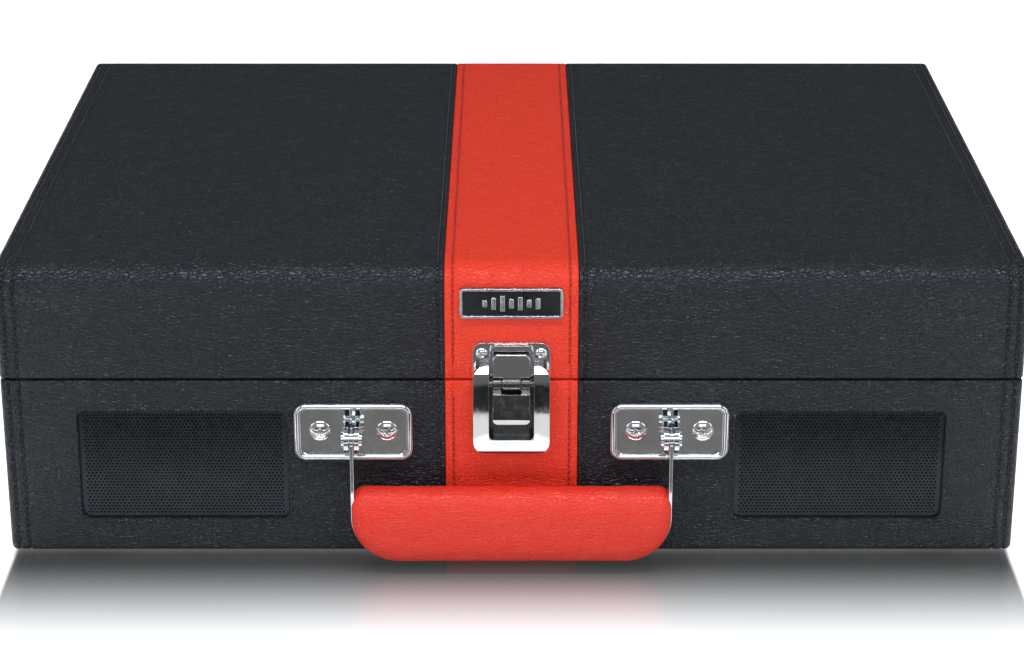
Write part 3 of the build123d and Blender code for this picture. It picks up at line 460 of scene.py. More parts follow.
def stations(lo, hi, rows, round_hi):
    """Places across the skin from a seam at lo: (x, fall, share of fall along x, along the face)."""
    near_seam = (0, 0.08, 0.2, 0.4, SEAM_ROUND)
    cuts = {lo + d for d in near_seam} | {hi - d for d in near_seam}
    if round_hi:
        cuts = {c for c in cuts if c < hi - END_ROUND}
    for row in rows:
        beside_row = {row + d for d in (-0.7, -0.4, -0.2, 0, 0.2, 0.4, 0.7)}
        cuts |= {c for c in beside_row if c < hi - END_ROUND * round_hi}
    last = hi - END_ROUND if round_hi else hi
    cuts |= {x for x in spread(lo, last, 6.0)}
    placed = []
    for x in sorted(c for c in cuts if lo <= c <= last):
        if placed and x - placed[-1][0] < 0.05:
            continue
        fall = rounding(x - lo, SEAM_ROUND)
        if not round_hi:
            fall = max(fall, rounding(hi - x, SEAM_ROUND))
        fall += sewn_dip(x, rows)
        placed.append((x, fall, 0.0, 1.0))
    if round_hi:
        for i in range(1, 9):
            a = math.radians(90 * i / 8)
            x = last + END_ROUND * math.sin(a)
            fall = END_ROUND * (1 - math.cos(a)) + sewn_dip(x, rows)
            placed.append((x, fall, math.sin(a), math.cos(a)))
    return placed


def skin(rim, far, bend, lo, hi, rows, round_hi, side=1):
    """A closed shell of leatherette over half the width (or the stripe), side is +1 or -1."""
    front, flat, back = wrap_path(rim, far, bend)
    path = front + flat + back
    across = stations(lo, hi, rows, round_hi)
    verts = []
    faces = []

    def at(place, spot, inner):
        x, fall, nx, nf = place
        y, z, ny, nz = spot
        if inner:
            x = lo + (x - lo) * ((hi - SKIN if round_hi else hi) - lo) / (hi - lo)
            fall = SKIN
            ease = 0.0
        else:
            ease = rounding(abs(z - rim), RIM_ROUND)
        return (side * (x - ease * nx), y - ny * (fall + ease * nf), z - nz * fall)

    rings = []
    for inner in (False, True):
        for place in across:
            rings.append(range(len(verts), len(verts) + len(path)))
            verts += [at(place, spot, inner) for spot in path]
    outer, inside = rings[:len(across)], rings[len(across):]
    for rows_of in (outer, inside):
        for a, b in zip(rows_of, rows_of[1:]):
            faces += [(a[k], a[k + 1], b[k + 1], b[k]) for k in range(len(path) - 1)]
    for a, b, c, d in zip(outer, outer[1:], inside, inside[1:]):
        faces += [(a[0], b[0], d[0], c[0]), (a[-1], b[-1], d[-1], c[-1])]
    ends = [(outer[0], inside[0])] if round_hi else [(outer[0], inside[0]), (outer[-1], inside[-1])]
    for a, b in ends:
        faces += [(a[k], a[k + 1], b[k + 1], b[k]) for k in range(len(path) - 1)]
    if round_hi:
        n = len(front)
        for ring in (outer[-1], inside[-1]):
            faces += [(ring[k], ring[k + 1], ring[-2 - k], ring[-1 - k]) for k in range(n - 1)]
            faces.append(tuple(ring[n - 1:len(path) - n + 1]))
        faces.append((outer[-1][0], outer[-1][-1], inside[-1][-1], inside[-1][0]))
    return verts, faces


def joined(*parts):
    verts = []
    faces = []
    for more_verts, more_faces in parts:
        start = len(verts)
        verts += more_verts
        faces += [tuple(i + start for i in face) for face in more_faces]
    return verts, faces


def tidy_ring(corner_x, corner_z, radius, steps):
    """A rounded rectangle about the origin, anticlockwise: (x, z, nx, nz)."""
    points = []
    for quarter in range(4):
        sx = 1 if quarter in (0, 3) else -1
        sz = 1 if quarter in (0, 1) else -1
        for i in range(steps + 1):
            a = math.radians(90 * (quarter + i / steps))
            c, s = math.cos(a), math.sin(a)
            x = sx * (corner_x - radius) + radius * c
            z = sz * (corner_z - radius) + radius * s
            points.append((x, z, c, s))
    return points


def make_skins():
    black_lid = [skin(RIM_LID, TOP, LID_BEND, STRIPE, HALF, BLACK_ROWS, True, s) for s in (-1, 1)]
    black_base = [skin(RIM_BASE, BOTTOM, BASE_BEND, STRIPE, HALF, BLACK_ROWS, True, s) for s in (-1, 1)]
    red_rows = (-RED_ROW, RED_ROW)
    piece("lid_skin_black", *joined(*black_lid), "lid", "black_leatherette", BLACK, ["lid_cover_black"])
    skin_base = piece(
        "base_skin_black", *joined(*black_base), "base", "black_leatherette", BLACK, ["base_cover_black"])
    piece("lid_skin_red", *skin(RIM_LID, TOP, LID_BEND, -STRIPE, STRIPE, red_rows, False),
          "lid", "red_leatherette", RED, ["lid_cover_red"])
    skin_band = piece(
        "base_skin_red", *skin(RIM_BASE, BOTTOM, BASE_BEND, -STRIPE, STRIPE, red_rows, False),
        "base", "red_leatherette", RED, ["base_cover_red"])
    return skin_base, skin_band


# ------------------------------------------------------------------ stitches
def stitch(centre, along, out, across):
    """One sewn stitch: a short thread that rises from the leather and goes back in."""
    rings = (
        (-0.50, 0.45, -0.22), (-0.36, 0.85, -0.06), (0.0, 1.0, 0.04), (0.36, 0.85, -0.06),
        (0.50, 0.45, -0.22))
    verts = []
    for reach, size, lift in rings:
        middle = centre + along * (reach * STITCH_LENGTH) + out * lift
        for k in range(6):
            a = math.radians(60 * k)
            verts.append(middle + (out * math.sin(a) + across * math.cos(a)) * STITCH_R * size)
    faces = []
    for r in range(len(rings) - 1):
        for k in range(6):
            n = (k + 1) % 6
            faces.append((6 * r + k, 6 * r + n, 6 * r + 6 + n, 6 * r + 6 + k))
    faces.append(tuple(range(5, -1, -1)))
    faces.append(tuple(range(24, 30)))
    return verts, faces


def stitch_row(x, spots):
    """Stitches at an even pitch along a line of (y, z, ny, nz) on the plane x."""
    made = []
    gone = STITCH_PITCH / 2
    for (y0, z0, ny0, nz0), (y1, z1, ny1, nz1) in zip(spots, spots[1:]):
        run = Vector((0, y1 - y0, z1 - z0))
        while gone < run.length:
            share = gone / run.length
            out = Vector((0, ny0 + (ny1 - ny0) * share, nz0 + (nz1 - nz0) * share)).normalized()
            slant = Vector((rng.uniform(0.05, 0.13), 0, 0))
            along = (run.normalized() + slant).normalized()
            across = along.cross(out).normalized()
            centre = Vector((x, y0, z0)) + run * share - out * (STITCH_DIP - 0.20)
            made.append(stitch(centre, along, out, across))
            gone += STITCH_PITCH * rng.uniform(0.97, 1.03)
        gone -= run.length
    return made


def make_stitches():
    for half, rim, far, bend in (("lid", RIM_LID, TOP, LID_BEND), ("base", RIM_BASE, BOTTOM, BASE_BEND)):
        front, flat, back = wrap_path(rim, far, bend)
        front = [p for p in front if abs(p[1] - rim) > 1.4]
        back = [p for p in back if abs(p[1] - rim) > 1.4]
        for colour, rows, thread in (
                ("black", BLACK_ROWS, BLACK_THREAD), ("red", (RED_ROW,), RED_THREAD)):
            made = []
            for x in [s * row for row in rows for s in (-1, 1)]:
                if half == "lid":
                    made += stitch_row(x, front + flat + back)
                else:
                    upright = [p for p in front if p[3] == 0.0]
                    behind = [p for p in back if p[3] == 0.0]
                    if abs(x) < 48:
                        behind = [p for p in behind if p[1] > 56.0]
                    made += stitch_row(x, upright) + stitch_row(x, behind)
            piece(f"{half}_stitches_{colour}", *joined(*made), half, colour + "_leatherette", thread)


# ------------------------------------------------------------------ rim trims
def swept(line, section):
    """A closed section of (inset, z) carried along a line of (x, y, inward x, inward y)."""
    verts = []
    for x, y, ix, iy in line:
        verts += [(x + ix * inset, y + iy * inset, z) for inset, z in section]
    n = len(section)
    faces = []
    for s in range(len(line) - 1):
        for k in range(n):
            m = (k + 1) % n
            faces.append((n * s + k, n * s + m, n * s + n + m, n * s + n + k))
    faces.append(tuple(range(n)))
    faces.append(tuple(range(n * (len(line) - 1), n * len(line))))
    return verts, faces


def make_trims():
    """Leatherette turned in over both rims and down the inside walls."""
    thick = 0.22
    drop = RIM_BASE - 9.7
    wall = BASE_WALL_IN
    base_section = [
        (0.75, RIM_BASE), (0.75, RIM_BASE + 0.12), (1.2, RIM_BASE + thick),
        (wall - 0.5, RIM_BASE + thick), (wall + 0.1, RIM_BASE + 0.1), (wall + thick, RIM_BASE - 0.5),
        (wall + thick, drop), (wall + 0.02, drop), (wall + 0.02, RIM_BASE)]
    wall = LID_WALL_IN
    low = RIM_LID + 0.95
    lid_section = [
        (0.75, RIM_LID), (0.75, RIM_LID - 0.12), (1.2, RIM_LID - thick), (wall - 0.5, RIM_LID - thick),
        (wall + 0.1, RIM_LID - 0.1), (wall + thick, RIM_LID + 0.5), (wall + thick, low), (wall + 0.02, low),
        (wall + 0.02, RIM_LID)]
    for half, section in (("base", base_section), ("lid", lid_section)):
        black = []
        for s in (-1, 1):
            line = [
                (s * STRIPE, FRONT, 0, 1), (s * HALF, FRONT, -s, 1), (s * HALF, BACK, -s, -1),
                (s * STRIPE, BACK, 0, -1)]
            black.append(swept(line, section))
        red = []
        for y, way in ((FRONT, 1), (BACK, -1)):
            red.append(swept([(-STRIPE, y, 0, way), (STRIPE, y, 0, way)], section))
        piece(f"{half}_rim_black", *joined(*black), half, "black_leatherette", BLACK)
        piece(f"{half}_rim_red", *joined(*red), half, "red_leatherette", RED)


# ------------------------------------------------------------------ grilles
def grille(lo, hi):
    """A perforated sheet in staggered rows, with a plain rounded border."""
    thick = GRILLE_THICK
    y_face = FRONT + GRILLE_BACK - thick
    wide = hi.x - lo.x
    tall = hi.z - lo.z
    middle_x = (lo.x + hi.x) / 2
    middle_z = (lo.z + hi.z) / 2
    columns = int((wide - 2 * GRILLE_BORDER) / HOLE_PITCH)
    lines = int((tall - 2 * GRILLE_BORDER) / HOLE_ROW)
    left = middle_x - columns * HOLE_PITCH / 2
    bottom = middle_z - lines * HOLE_ROW / 2
    verts = []
    faces = []

    def twin(points):
        start = len(verts)
        for x, z in points:
            verts.append((x, y_face, z))
            verts.append((x, y_face + thick, z))
        return [(start + 2 * i, start + 2 * i + 1) for i in range(len(points))]

    def both(a, b, c, d):
        faces.append((a[0], b[0], c[0], d[0]))
        faces.append((a[1], b[1], c[1], d[1]))

    for line in range(lines):
        z0 = bottom + line * HOLE_ROW
        shift = 0.5 * HOLE_PITCH if line % 2 else 0.0
        for column in range(columns - line % 2):
            x0 = left + shift + column * HOLE_PITCH
            half = HOLE_PITCH / 2
            edge = twin([
                (x0, z0), (x0 + half, z0), (x0 + 2 * half, z0), (x0 + 2 * half, z0 + HOLE_ROW),
                (x0 + half, z0 + HOLE_ROW), (x0, z0 + HOLE_ROW)])
            turns = [math.radians(a) for a in (210, 270, 330, 30, 90, 150)]
            hole = twin([
                (x0 + half + HOLE_R * math.cos(a), z0 + HOLE_ROW / 2 + HOLE_R * math.sin(a)) for a in turns])
            for i in range(6):
                j = (i + 1) % 6
                both(edge[i], edge[j], hole[j], hole[i])
                faces.append((hole[i][0], hole[j][0], hole[j][1], hole[i][1]))
        if line % 2:
            for x0 in (left, left + (columns - 0.5) * HOLE_PITCH):
                x1 = x0 + HOLE_PITCH / 2
                both(*twin([(x0, z0), (x1, z0), (x1, z0 + HOLE_ROW), (x0, z0 + HOLE_ROW)]))
    right = left + columns * HOLE_PITCH
    top = bottom + lines * HOLE_ROW
    inner = [(left + i * HOLE_PITCH / 2, bottom) for i in range(2 * columns)]
    inner += [(right, bottom + i * HOLE_ROW) for i in range(lines)]
    inner += [(right - i * HOLE_PITCH / 2, top) for i in range(2 * columns)]
    inner += [(left, top - i * HOLE_ROW) for i in range(lines)]
    rim = []
    for x, z in inner:
        px = (x - middle_x) / (right - left) * wide
        pz = (z - middle_z) / (top - bottom) * tall
        cx = max(abs(px) - (wide / 2 - GRILLE_CORNER), 0.0)
        cz = max(abs(pz) - (tall / 2 - GRILLE_CORNER), 0.0)
        reach = math.hypot(cx, cz)
        if cx > 0 and cz > 0 and reach > 0:
            px = math.copysign(wide / 2 - GRILLE_CORNER + cx / reach * GRILLE_CORNER, px)
            pz = math.copysign(tall / 2 - GRILLE_CORNER + cz / reach * GRILLE_CORNER, pz)
        rim.append((middle_x + px, middle_z + pz))
    inner = twin(inner)
    rim = twin(rim)
    for i in range(len(inner)):
        j = (i + 1) % len(inner)
        both(inner[i], inner[j], rim[j], rim[i])
        faces.append((rim[i][0], rim[j][0], rim[j][1], rim[i][1]))
    return verts, faces


def ring_faces(count, n):
    """The faces of a closed ring of count sections with n points each."""
    faces = []
    for s in range(count):
        t = (s + 1) % count
        for k in range(n):
            m = (k + 1) % n
            faces.append((n * s + k, n * s + m, n * t + m, n * t + k))
    return faces


def window_lip(middle_x, middle_z, wide, tall, radius, depth):
    """Leatherette turned in round a window: a rounded edge that runs back to the grille."""
    section = (
        (1.1, 0.02), (0.75, -0.13), (0.35, -0.16), (0.0, -0.05), (-0.18, 0.2), (-0.22, 0.5), (-0.22, depth),
        (0.3, depth), (0.3, 0.6))
    ring = tidy_ring(wide / 2, tall / 2, radius, 8)
    verts = []
    for x, z, nx, nz in ring:
        verts += [(middle_x + x + nx * out, FRONT + back, middle_z + z + nz * out) for out, back in section]
    return verts, ring_faces(len(ring), len(section))


def grille_cloth(middle, wide, tall):
    """Thin black speaker cloth stretched flat behind the mesh, with a slight weave ripple."""
    across = spread(-wide / 2, wide / 2, 1.5)
    up = spread(-tall / 2, tall / 2, 1.5)
    verts = []
    for back in (GRILLE_BACK + 0.04, CLOTH_BACK):
        for i, z in enumerate(up):
            ripple = [0.05 * math.sin(1.9 * x) * math.sin(2.3 * z) for x in across]
            rise = 1 if back < CLOTH_BACK else 0
            for x, r in zip(across, ripple):
                verts.append((middle.x + x, FRONT + back + rise * (0.05 + r), middle.z + z))
    n = len(across)
    m = len(up)
    faces = []
    for start in (0, n * m):
        for i in range(m - 1):
            for k in range(n - 1):
                a = start + n * i + k
                faces.append((a, a + 1, a + n + 1, a + n))
    edge = [k for k in range(n)] + [n * i + n - 1 for i in range(1, m)]
    edge += [n * m - 1 - k for k in range(1, n)] + [n * i for i in range(m - 2, 0, -1)]
    for a, b in zip(edge, edge[1:] + edge[:1]):
        faces.append((a, b, b + n * m, a + n * m))
    return verts, faces


def cutting_block(middle_x, middle_z, wide, tall, radius, y0, y1):
    """A block with rounded corners that runs from y0 to y1, used to open the skins."""
    ring = tidy_ring(wide / 2, tall / 2, radius, 6)
    n = len(ring)
    verts = [(middle_x + x, y, middle_z + z) for y in (y0, y1) for x, z, nx, nz in ring]
    faces = [(k, (k + 1) % n, n + (k + 1) % n, n + k) for k in range(n)]
    return verts, faces + [tuple(range(n - 1, -1, -1)), tuple(range(n, 2 * n))]


def make_grilles():
    lo, hi = box_mm("speaker_grilles")
    wide = 72.0
    places = []
    for side in (-1, 1):
        x0, x1 = sorted((side * hi.x, side * (hi.x - wide)))
        places.append((Vector((x0, lo.y, lo.z)), Vector((x1, hi.y, hi.z))))
    sheets = [grille(a, b) for a, b in places]
    piece("grille_mesh", *joined(*sheets), "base", "mesh_black", MESH, ["speaker_grilles"])
    lips = []
    cloths = []
    openings = []
    for a, b in places:
        middle = (a + b) / 2
        cloths.append(grille_cloth(middle, b.x - a.x - 0.4, b.z - a.z - 0.4))
        open_x, open_z = b.x - a.x + 0.4, b.z - a.z + 0.4
        lips.append(window_lip(middle.x, middle.z, open_x, open_z, 3.0, GRILLE_BACK - GRILLE_THICK))
        openings.append(cutting_block(middle.x, middle.z, open_x, open_z, 3.0, FRONT - 3, FRONT + 4))
    piece("grille_surround", *joined(*lips), "base", "black_leatherette", BLACK)
    piece("grille_cloth", *joined(*cloths), "base", "mesh_black", CLOTH)
    return openings


def open_skin(skin_piece, blocks):
    """Opens a skin where the grilles and the socket panel sit."""
    verts, faces = joined(*blocks)
    mesh = bpy.data.meshes.new("window cutter")
    mesh.from_pydata([Vector(v) * MM for v in verts], [], faces)
    finish_mesh(mesh, 30)
    cutter = bpy.data.objects.new("window_cutter", mesh)
    scene.collection.objects.link(cutter)
    cut = skin_piece.modifiers.new("windows", "BOOLEAN")
    cut.object = cutter
    cut.operation = "DIFFERENCE"
    cut.solver = "EXACT"
    bpy.context.view_layer.update()
    graph = bpy.context.evaluated_depsgraph_get()
    opened = bpy.data.meshes.new_from_object(skin_piece.evaluated_get(graph))
    skin_piece.modifiers.clear()
    skin_piece.data = opened
    opened.set_sharp_from_angle(angle=math.radians(35))
    bpy.data.objects.remove(cutter)


# ------------------------------------------------------------------ padded grip
def crowned_pad(lo, hi, half, inset):
    """A crowned pad whose lower corners turn up, with the leather's slow swell and pull."""
    low_r = 16.0
    high_r = 4.5
    middle_y = (lo.y + hi.y) / 2
    deep = (hi.y - lo.y) / 2
    columns = 150
    around = 72
    verts = []
    for i in range(columns + 1):
        x = half * math.sin(math.radians(-90 + 180 * i / columns))
        low = lo.z + rounding(half - abs(x), low_r)
        high = hi.z - rounding(half - abs(x), high_r)
        end = max(0.0, 1 - max(0.0, (abs(x) - half + 7.0) / 7.0) ** 2.6)
        thick = deep * (0.62 + 0.38 * math.sqrt(end))
        middle = (low + high) / 2
        tall = (high - low) / 2
        for k in range(around):
            a = 2 * math.pi * k / around
            c, s = math.cos(a), math.sin(a)
            power = 2 / (2.6 if s > 0 else 3.4)
            out = Vector((0, math.copysign(abs(c) ** power, c), math.copysign(abs(s) ** power, s)))
            spot = Vector((x, middle_y + out.y * thick, middle + out.z * tall))
            wave = noise.noise(Vector((x * 0.16, spot.y * 0.10, spot.z * 0.10)) + Vector((3, 1, 7)))
            pull = 0.16 * noise.noise(Vector((x * 0.9, spot.y * 0.25, spot.z * 0.25)))
            sink = (0.25 + 0.28 * wave + pull) * (0.35 if s < -0.7 else 1.0)
            normal = Vector((0.25 * x / half, out.y / thick, out.z / tall)).normalized()
            verts.append(spot - normal * (inset + max(0.0, sink) * min(1.0, end * 2 + 0.2)))
    faces = []
    for i in range(columns):
        for k in range(around):
            n = (k + 1) % around
            faces.append((around * i + k, around * i + n, around * (i + 1) + n, around * (i + 1) + k))
    faces.append(tuple(range(around - 1, -1, -1)))
    faces.append(tuple(range(around * columns, around * (columns + 1))))
    return verts, faces


def make_grip():
    """The padded grip: leather over foam, wrapped round the chrome strap, sewn at the back."""
    lo, hi = box_mm("handle_cover")
    half = box_mm("handle_bail")[1].x - 0.2
    shell = crowned_pad(lo, hi, half, 0)
    grip = piece("grip_pad", *shell, "handle", "red_leatherette", GRIP_RED, ["handle_cover"], 60)
    filling = crowned_pad(lo, hi, half - 1.6, 1.3)
    piece("grip_foam", *filling, "handle", "foam", BY_SLOT["foam"], ["handle_core"], 60)
    seam_z = (lo.z + hi.z) / 2 + 3
    line = [Vector((x, hi.y - 0.28, seam_z)) for x in spread(-half + 14, half - 14, STITCH_PITCH)]
    made = [stitch(p, Vector((1, 0, 0.06)).normalized(), Vector((0, 1, 0)), Vector((0, 0, 1))) for p in line]
    piece("grip_stitches", *joined(*made), "handle", "red_leatherette", RED_THREAD)


# ------------------------------------------------------------------ deck
def lathe(profile, centre, steps):
    verts = []
    faces = []
    n = len(profile)
    for s in range(steps):
        a = 2 * math.pi * s / steps
        verts += [(centre.x + r * math.cos(a), centre.y + r * math.sin(a), z) for r, z in profile]
        t = (s + 1) % steps
        faces += [(n * s + k, n * s + (k + 1) % n, n * t + (k + 1) % n, n * t + k) for k in range(n)]
    return verts, faces


def make_mat():
    """A ribbed rubber mat: fine rings, a bare label circle and a raised outer lip."""
    lo, hi = box_mm("platter_mat")
    centre = (lo + hi) / 2
    outer = (hi.x - lo.x) / 2
    profile = [(5.0, lo.z), (5.0, hi.z - 0.5), (5.3, hi.z - 0.35), (26.0, hi.z - 0.35), (27.0, hi.z)]
    ring = 29.0
    while ring < outer - 5:
        profile += [(ring, hi.z), (ring + 0.35, hi.z - 0.4), (ring + 0.9, hi.z - 0.4), (ring + 1.25, hi.z)]
        ring += 2.6
    profile += [(outer - 2.5, hi.z), (outer - 0.6, hi.z), (outer, hi.z - 0.6), (outer, lo.z)]
    piece("mat_ribbed", *lathe(profile, centre, 160), "platter", "mat", BY_SLOT["mat"], ["platter_mat"], 25)


# ------------------------------------------------------------------ bracket rims
def make_bracket_rims():
    """The rolled edge of each pressed handle bracket, as a bead round the plate."""
    lo, hi = box_mm("handle_brackets")
    half_x, half_z, corner = 20.25, 10.3, 4.0
    middle_z = lo.z + half_z
    bead = (
        (0.08, -0.25), (0.1, -1.5), (0.0, -2.1), (-0.3, -2.7), (-0.75, -3.0), (-1.2, -2.95), (-1.6, -2.6),
        (-1.9, -2.0), (-2.02, -1.35), (-1.2, -1.2), (-1.2, -0.25))
    rims = []
    for side in (-1, 1):
        middle_x = side * (hi.x - half_x)
        ring = tidy_ring(half_x, half_z, corner, 10)
        verts = []
        for x, z, nx, nz in ring:
            verts += [(middle_x + x + nx * out, FRONT + d, middle_z + z + nz * out) for out, d in bead]
        rims.append((verts, ring_faces(len(ring), len(bead))))
    piece("bracket_rims", *joined(*rims), "base", "chrome", CHROME, crease=50)


# ------------------------------------------------------------------ screws
def islands(node):
    """The box of each separate solid in a CAD node, in millimetres."""
    made = bmesh.new()
    made.from_mesh(nodes[node].data)
    bmesh.ops.remove_doubles(made, verts=made.verts, dist=1e-6)
    left = set(made.verts)
    boxes = []
    while left:
        group = {left.pop()}
        edge = list(group)
        while edge:
            for link in edge.pop().link_edges:
                for vert in link.verts:
                    if vert in left:
                        left.discard(vert)
                        group.add(vert)
                        edge.append(vert)
        spots = [v.co / MM for v in group]
        lo = Vector([min(c[i] for c in spots) for i in range(3)])
        hi = Vector([max(c[i] for c in spots) for i in range(3)])
        boxes.append((lo, hi))
    made.free()
    return sorted(boxes, key=lambda b: tuple(round(c, 2) for c in b[0]))


def cross_cut(u, v, arm, half):
    """How deep a cross recess is at (u, v), from 0 to 1."""
    depth = 0.0
    for a, b in ((u, v), (v, u)):
        wide = min(1.0, max(0.0, (half - abs(b)) / 0.14 + 0.5))
        long = min(1.0, max(0.0, (arm - abs(a)) / 0.30 + 0.5))
        depth = max(depth, wide * long)
    return depth


def pan_screw(lo, hi, turn):
    """A domed cross-head screw that fills the box of its CAD screw."""
    size = hi - lo
    middle = (lo + hi) / 2
    if size.z > size.y:
        out, across = Vector((0, 0, 1)), Vector((0, 1, 0))
    else:
        out, across = Vector((0, -1 if middle.y < 0 else 1, 0)), Vector((0, 0, 1))
    long = size.z if size.z > size.y else size.y
    radius = size.x / 2
    face = middle + out * (long / 2)
    tall = 1.8 if radius > 3 else 1.2
    shank = 0.44 * radius
    steps = 72
    rings = [(radius * i / 22, None) for i in range(1, 22)]
    rings += [(radius, 0.85 * tall), (radius, tall), (shank, tall), (shank, long - 0.6), (0.4 * shank, long)]
    verts = []
    for reach, back in rings:
        for k in range(steps):
            a = 2 * math.pi * k / steps
            u, v = reach * math.cos(a), reach * math.sin(a)
            drop = back
            if back is None:
                spun = Vector((u, v, 0))
                spun.rotate(Euler((0, 0, turn)))
                drop = 0.82 * tall * (reach / radius) ** 2.4
                drop += 0.4 * tall * cross_cut(spun.x, spun.y, 0.44 * radius, 0.1 * radius)
            verts.append(face - out * drop + Vector((u, 0, 0)) + across * v)
    faces = []
    for r in range(len(rings) - 1):
        for k in range(steps):
            n = (k + 1) % steps
            faces.append((steps * r + k, steps * r + n, steps * (r + 1) + n, steps * (r + 1) + k))
    verts.append(face - out * (0.4 * tall))
    verts.append(face - out * long)
    last = steps * (len(rings) - 1)
    for k in range(steps):
        n = (k + 1) % steps
        faces.append((k, n, len(verts) - 2))
        faces.append((last + k, last + n, len(verts) - 1))
    return verts, faces


def make_screws():
    for node, body in (("bracket_screws", "base"), ("case_screws", "base"), ("lid_screws", "lid")):
        made = [pan_screw(lo, hi, rng.uniform(0.0, 1.5)) for lo, hi in islands(node)]
        piece(node + "_domed", *joined(*made), body, "chrome", CHROME, [node], 28)


def make_eased():
    for node, width, steps in (
            ("handle_brackets", 0.55, 3), ("latch_frame", 0.55, 3), ("latch_catch", 0.35, 2),
            ("latch_lever", 0.45, 3), ("latch_hook", 0.45, 3), ("nameplate", 0.18, 2),
            ("nameplate_trim", 0.16, 2), ("handle_bail", 0.2, 2), ("hinge_leaves_base", 0.22, 2),
            ("hinge_leaves_lid", 0.22, 2),
            ("rear_panel", 0.3, 2), ("deck_plate", 0.35, 2), ("platter", 0.3, 2), ("arm_pivot_base", 0.4, 2),
            ("arm_yoke", 0.3, 2), ("arm_tube", 0.25, 2), ("counterweight", 0.5, 2), ("cartridge", 0.2, 2),
            ("arm_rest", 0.25, 2), ("arm_clip", 0.2, 2), ("cue_base", 0.4, 2), ("lift_bar", 0.25, 2),
            ("speed_lever", 0.35, 2), ("autostop_switch", 0.3, 2), ("rca_jacks", 0.2, 2),
            ("headphone_jack", 0.25, 2), ("dc_jack", 0.25, 2), ("power_lamp", 0.3, 2),
            ("spindle_bush", 0.25, 2)):
        softened(node, width, steps)


# ------------------------------------------------------------------ floor, light, camera
def stage_material(name, color, strength):
    look = Look(name, color, 0.5, Specular_IOR_Level=0.0)
    look.tint(look.noise(60.0, 2.0), [0.985 * c for c in color], color)
    look.bsdf.inputs["Emission Color"].default_value = (1, 1, 1, 1)
    look.bsdf.inputs["Emission Strength"].default_value = strength
    return look


def make_floor():
    """A pale glowing floor. Just in front of the case, and only as wide as the case, it is blended into a
    dim mirror: a painted contact shadow that carries a faint reflection and fades with distance. Its glow is
    painted stronger round the case than further in front.
    """
    mesh = bpy.data.meshes.new("floor")
    reach = 6.0
    corners = [(-reach, -reach, 0), (reach, -reach, 0), (reach, reach, 0), (-reach, reach, 0)]
    mesh.from_pydata(corners, [], [(0, 1, 2, 3)])
    floor = bpy.data.objects.new("floor", mesh)
    scene.collection.objects.link(floor)
    look = stage_material("floor", (0.72, 0.72, 0.72), 0.75)
    split = look.add("ShaderNodeSeparateXYZ")
    look.link(look.place, split.inputs[0])
    ahead = look.math("MULTIPLY_ADD", split.outputs[1], -1000.0, FRONT)
    aside = look.math("MULTIPLY", look.math("ABSOLUTE", split.outputs[0]), 1000.0)
    # painted contact shadow: near fades the dim mirror in over the floor just in front of the case
    near = look.ramp(ahead, 0.0, 96.0, 0.97, 0.0)
    # painted light: the floor's glow is stronger round the case than further in front
    look.link(look.ramp(ahead, 30.0, 150.0, 0.9, 0.55), look.bsdf.inputs["Emission Strength"])
    beside = look.ramp(aside, HALF - 1.5, HALF + 1.0, 1.0, 0.0)
    within = look.math("MULTIPLY", look.ramp(ahead, -40.0, 0.0), beside)
    # the dim mirror is a painted contact shadow that carries a faint reflection
    shadow_mirror = look.add("ShaderNodeBsdfGlossy")
    shadow_mirror.inputs["Roughness"].default_value = 0.24
    shadow_mirror.inputs["Color"].default_value = (0.34, 0.34, 0.34, 1)
    blend = look.add("ShaderNodeMixShader")
    look.link(look.math("MULTIPLY", near, within), blend.inputs[0])
    look.link(look.bsdf.outputs[0], blend.inputs[1])
    look.link(shadow_mirror.outputs[0], blend.inputs[2])
    look.link(blend.outputs[0], look.tree.nodes["Material Output"].inputs["Surface"])
    mesh.materials.append(look.mat)
    backdrop_mesh = bpy.data.meshes.new("backdrop")
    made = bmesh.new()
    bmesh.ops.create_uvsphere(made, u_segments=48, v_segments=24, radius=5.5)
    made.to_mesh(backdrop_mesh)
    made.free()
    backdrop = bpy.data.objects.new("backdrop", backdrop_mesh)
    scene.collection.objects.link(backdrop)
    backdrop.visible_diffuse = False
    backdrop.visible_glossy = False
    backdrop.visible_shadow = False
    backdrop_mesh.materials.append(stage_material("backdrop", (0.9, 0.9, 0.9), 1.0).mat)


def area_light(name, place, target, size, watts, color=(1, 1, 1)):
    data = bpy.data.lights.new(name, "AREA")
    data.shape = "RECTANGLE"
    data.size, data.size_y = size
    data.energy = watts
    data.color = color
    lamp = bpy.data.objects.new(name, data)
    lamp.location = place
    lamp.rotation_euler = (Vector(target) - Vector(place)).to_track_quat("-Z", "Y").to_euler()
    scene.collection.objects.link(lamp)


def reflection_card(name, corners, shade):
    """A card that glows at strength shade, dim or bright, and that only reflections see: a painted
    reflection in shiny things, like the cards used round shiny things in a studio.
    """
    mesh = bpy.data.meshes.new(name)
    mesh.from_pydata(corners, [], [(0, 1, 2, 3)])
    card = bpy.data.objects.new(name.replace(" ", "_"), mesh)
    scene.collection.objects.link(card)
    card.visible_camera = False
    card.visible_diffuse = False
    card.visible_shadow = False
    mesh.materials.append(stage_material(name, (0.0, 0.0, 0.0), shade).mat)


def flat_card(x0, x1, y0, y1):
    """The corners of a card that lies just above the floor, in metres."""
    return [(x0, y0, 0.004), (x1, y0, 0.004), (x1, y1, 0.004), (x0, y1, 0.004)]


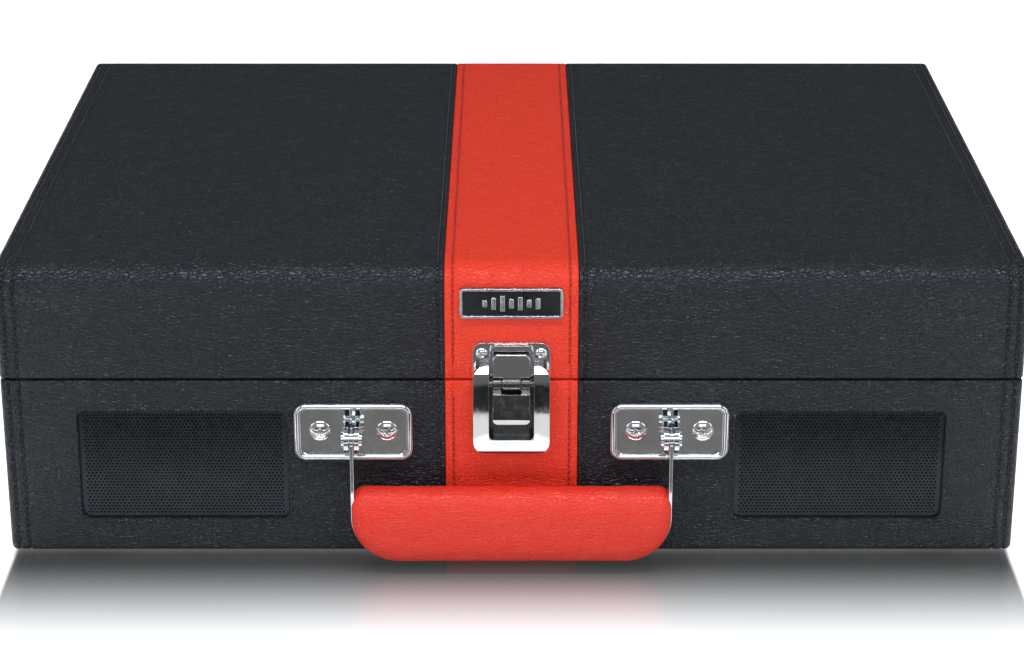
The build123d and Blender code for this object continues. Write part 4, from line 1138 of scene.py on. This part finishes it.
def make_lights():
    area_light("overhead", (0.0, -0.62, 1.30), (0, -0.1, 0.1), (1.4, 0.13), 14, (0.90, 0.96, 1.0))
    area_light("front fill", (0.0, -1.5, 1.0), (0, 0, 0.05), (1.6, 0.4), 8, (0.70, 0.86, 1.0))
    area_light("left", (-1.3, -0.3, 0.7), (0, 0, 0.05), (0.4, 0.9), 2.5)
    area_light("right", (1.3, -0.3, 0.7), (0, 0, 0.05), (0.4, 0.9), 2.5)
    # Glowing cards seen only in reflections: painted reflections, dark and bright, in the chrome, the latch
    # and the leather.
    reflection_card("rear flag", [(-2.2, 1.3, 0.15), (2.2, 1.3, 0.15), (2.2, 1.4, 0.62), (-2.2, 1.4, 0.62)], 0.03)
    reflection_card("rear card", [(-2.2, 1.4, 0.62), (2.2, 1.4, 0.62), (2.2, 1.5, 1.6), (-2.2, 1.5, 1.6)], 0.24)
    reflection_card("frame card", flat_card(-0.028, 0.028, -0.227, -0.192), 0.93)
    reflection_card("latch flag", flat_card(-0.028, 0.028, -0.275, -0.227), 0.015)
    reflection_card("hook flag", flat_card(-0.028, 0.028, -0.34, -0.275), 0.14)
    reflection_card("lever flag", flat_card(-0.028, 0.028, -0.75, -0.34), 0.03)
    reflection_card("left near flag", flat_card(-1.2, -0.028, -0.34, -0.195), 0.19)
    reflection_card("right near flag", flat_card(0.028, 1.2, -0.34, -0.195), 0.19)
    reflection_card("far floor flag", flat_card(-1.4, 1.4, -1.6, -0.75), 0.035)
    reflection_card("far flag", [(-1.4, -1.6, 0.0), (1.4, -1.6, 0.0), (1.4, -1.6, 0.34), (-1.4, -1.6, 0.34)], 0.06)
    world = bpy.data.worlds.new("studio")
    scene.world = world
    world.use_nodes = True
    world.node_tree.nodes["Background"].inputs["Color"].default_value = (0.94, 0.97, 1.0, 1)
    world.node_tree.nodes["Background"].inputs["Strength"].default_value = 0.3


def make_camera():
    data = bpy.data.cameras.new("camera")
    data.lens = 95.6
    data.sensor_width = 36.0
    data.clip_start = 0.01
    data.clip_end = 30.0
    camera = bpy.data.objects.new("camera", data)
    camera.location = (0.0002, -0.98215, 0.4258)
    camera.rotation_euler = (math.radians(90 - 21.53), 0, 0)
    scene.collection.objects.link(camera)
    scene.camera = camera
    scene.view_settings.view_transform = "Standard"


skin_black, skin_red = make_skins()
bay_low, bay_high = SOCKET_BAY_Z
socket_bay = cutting_block(
    0, (bay_low + bay_high) / 2, 2 * SOCKET_BAY_X, bay_high - bay_low, 1.0, BACK - 3, BACK + 1)
open_skin(skin_black, make_grilles() + [socket_bay])
open_skin(skin_red, [socket_bay])
make_stitches()
make_trims()
make_grip()
make_mat()
make_bracket_rims()
make_screws()
make_eased()
make_floor()
make_lights()
make_camera()
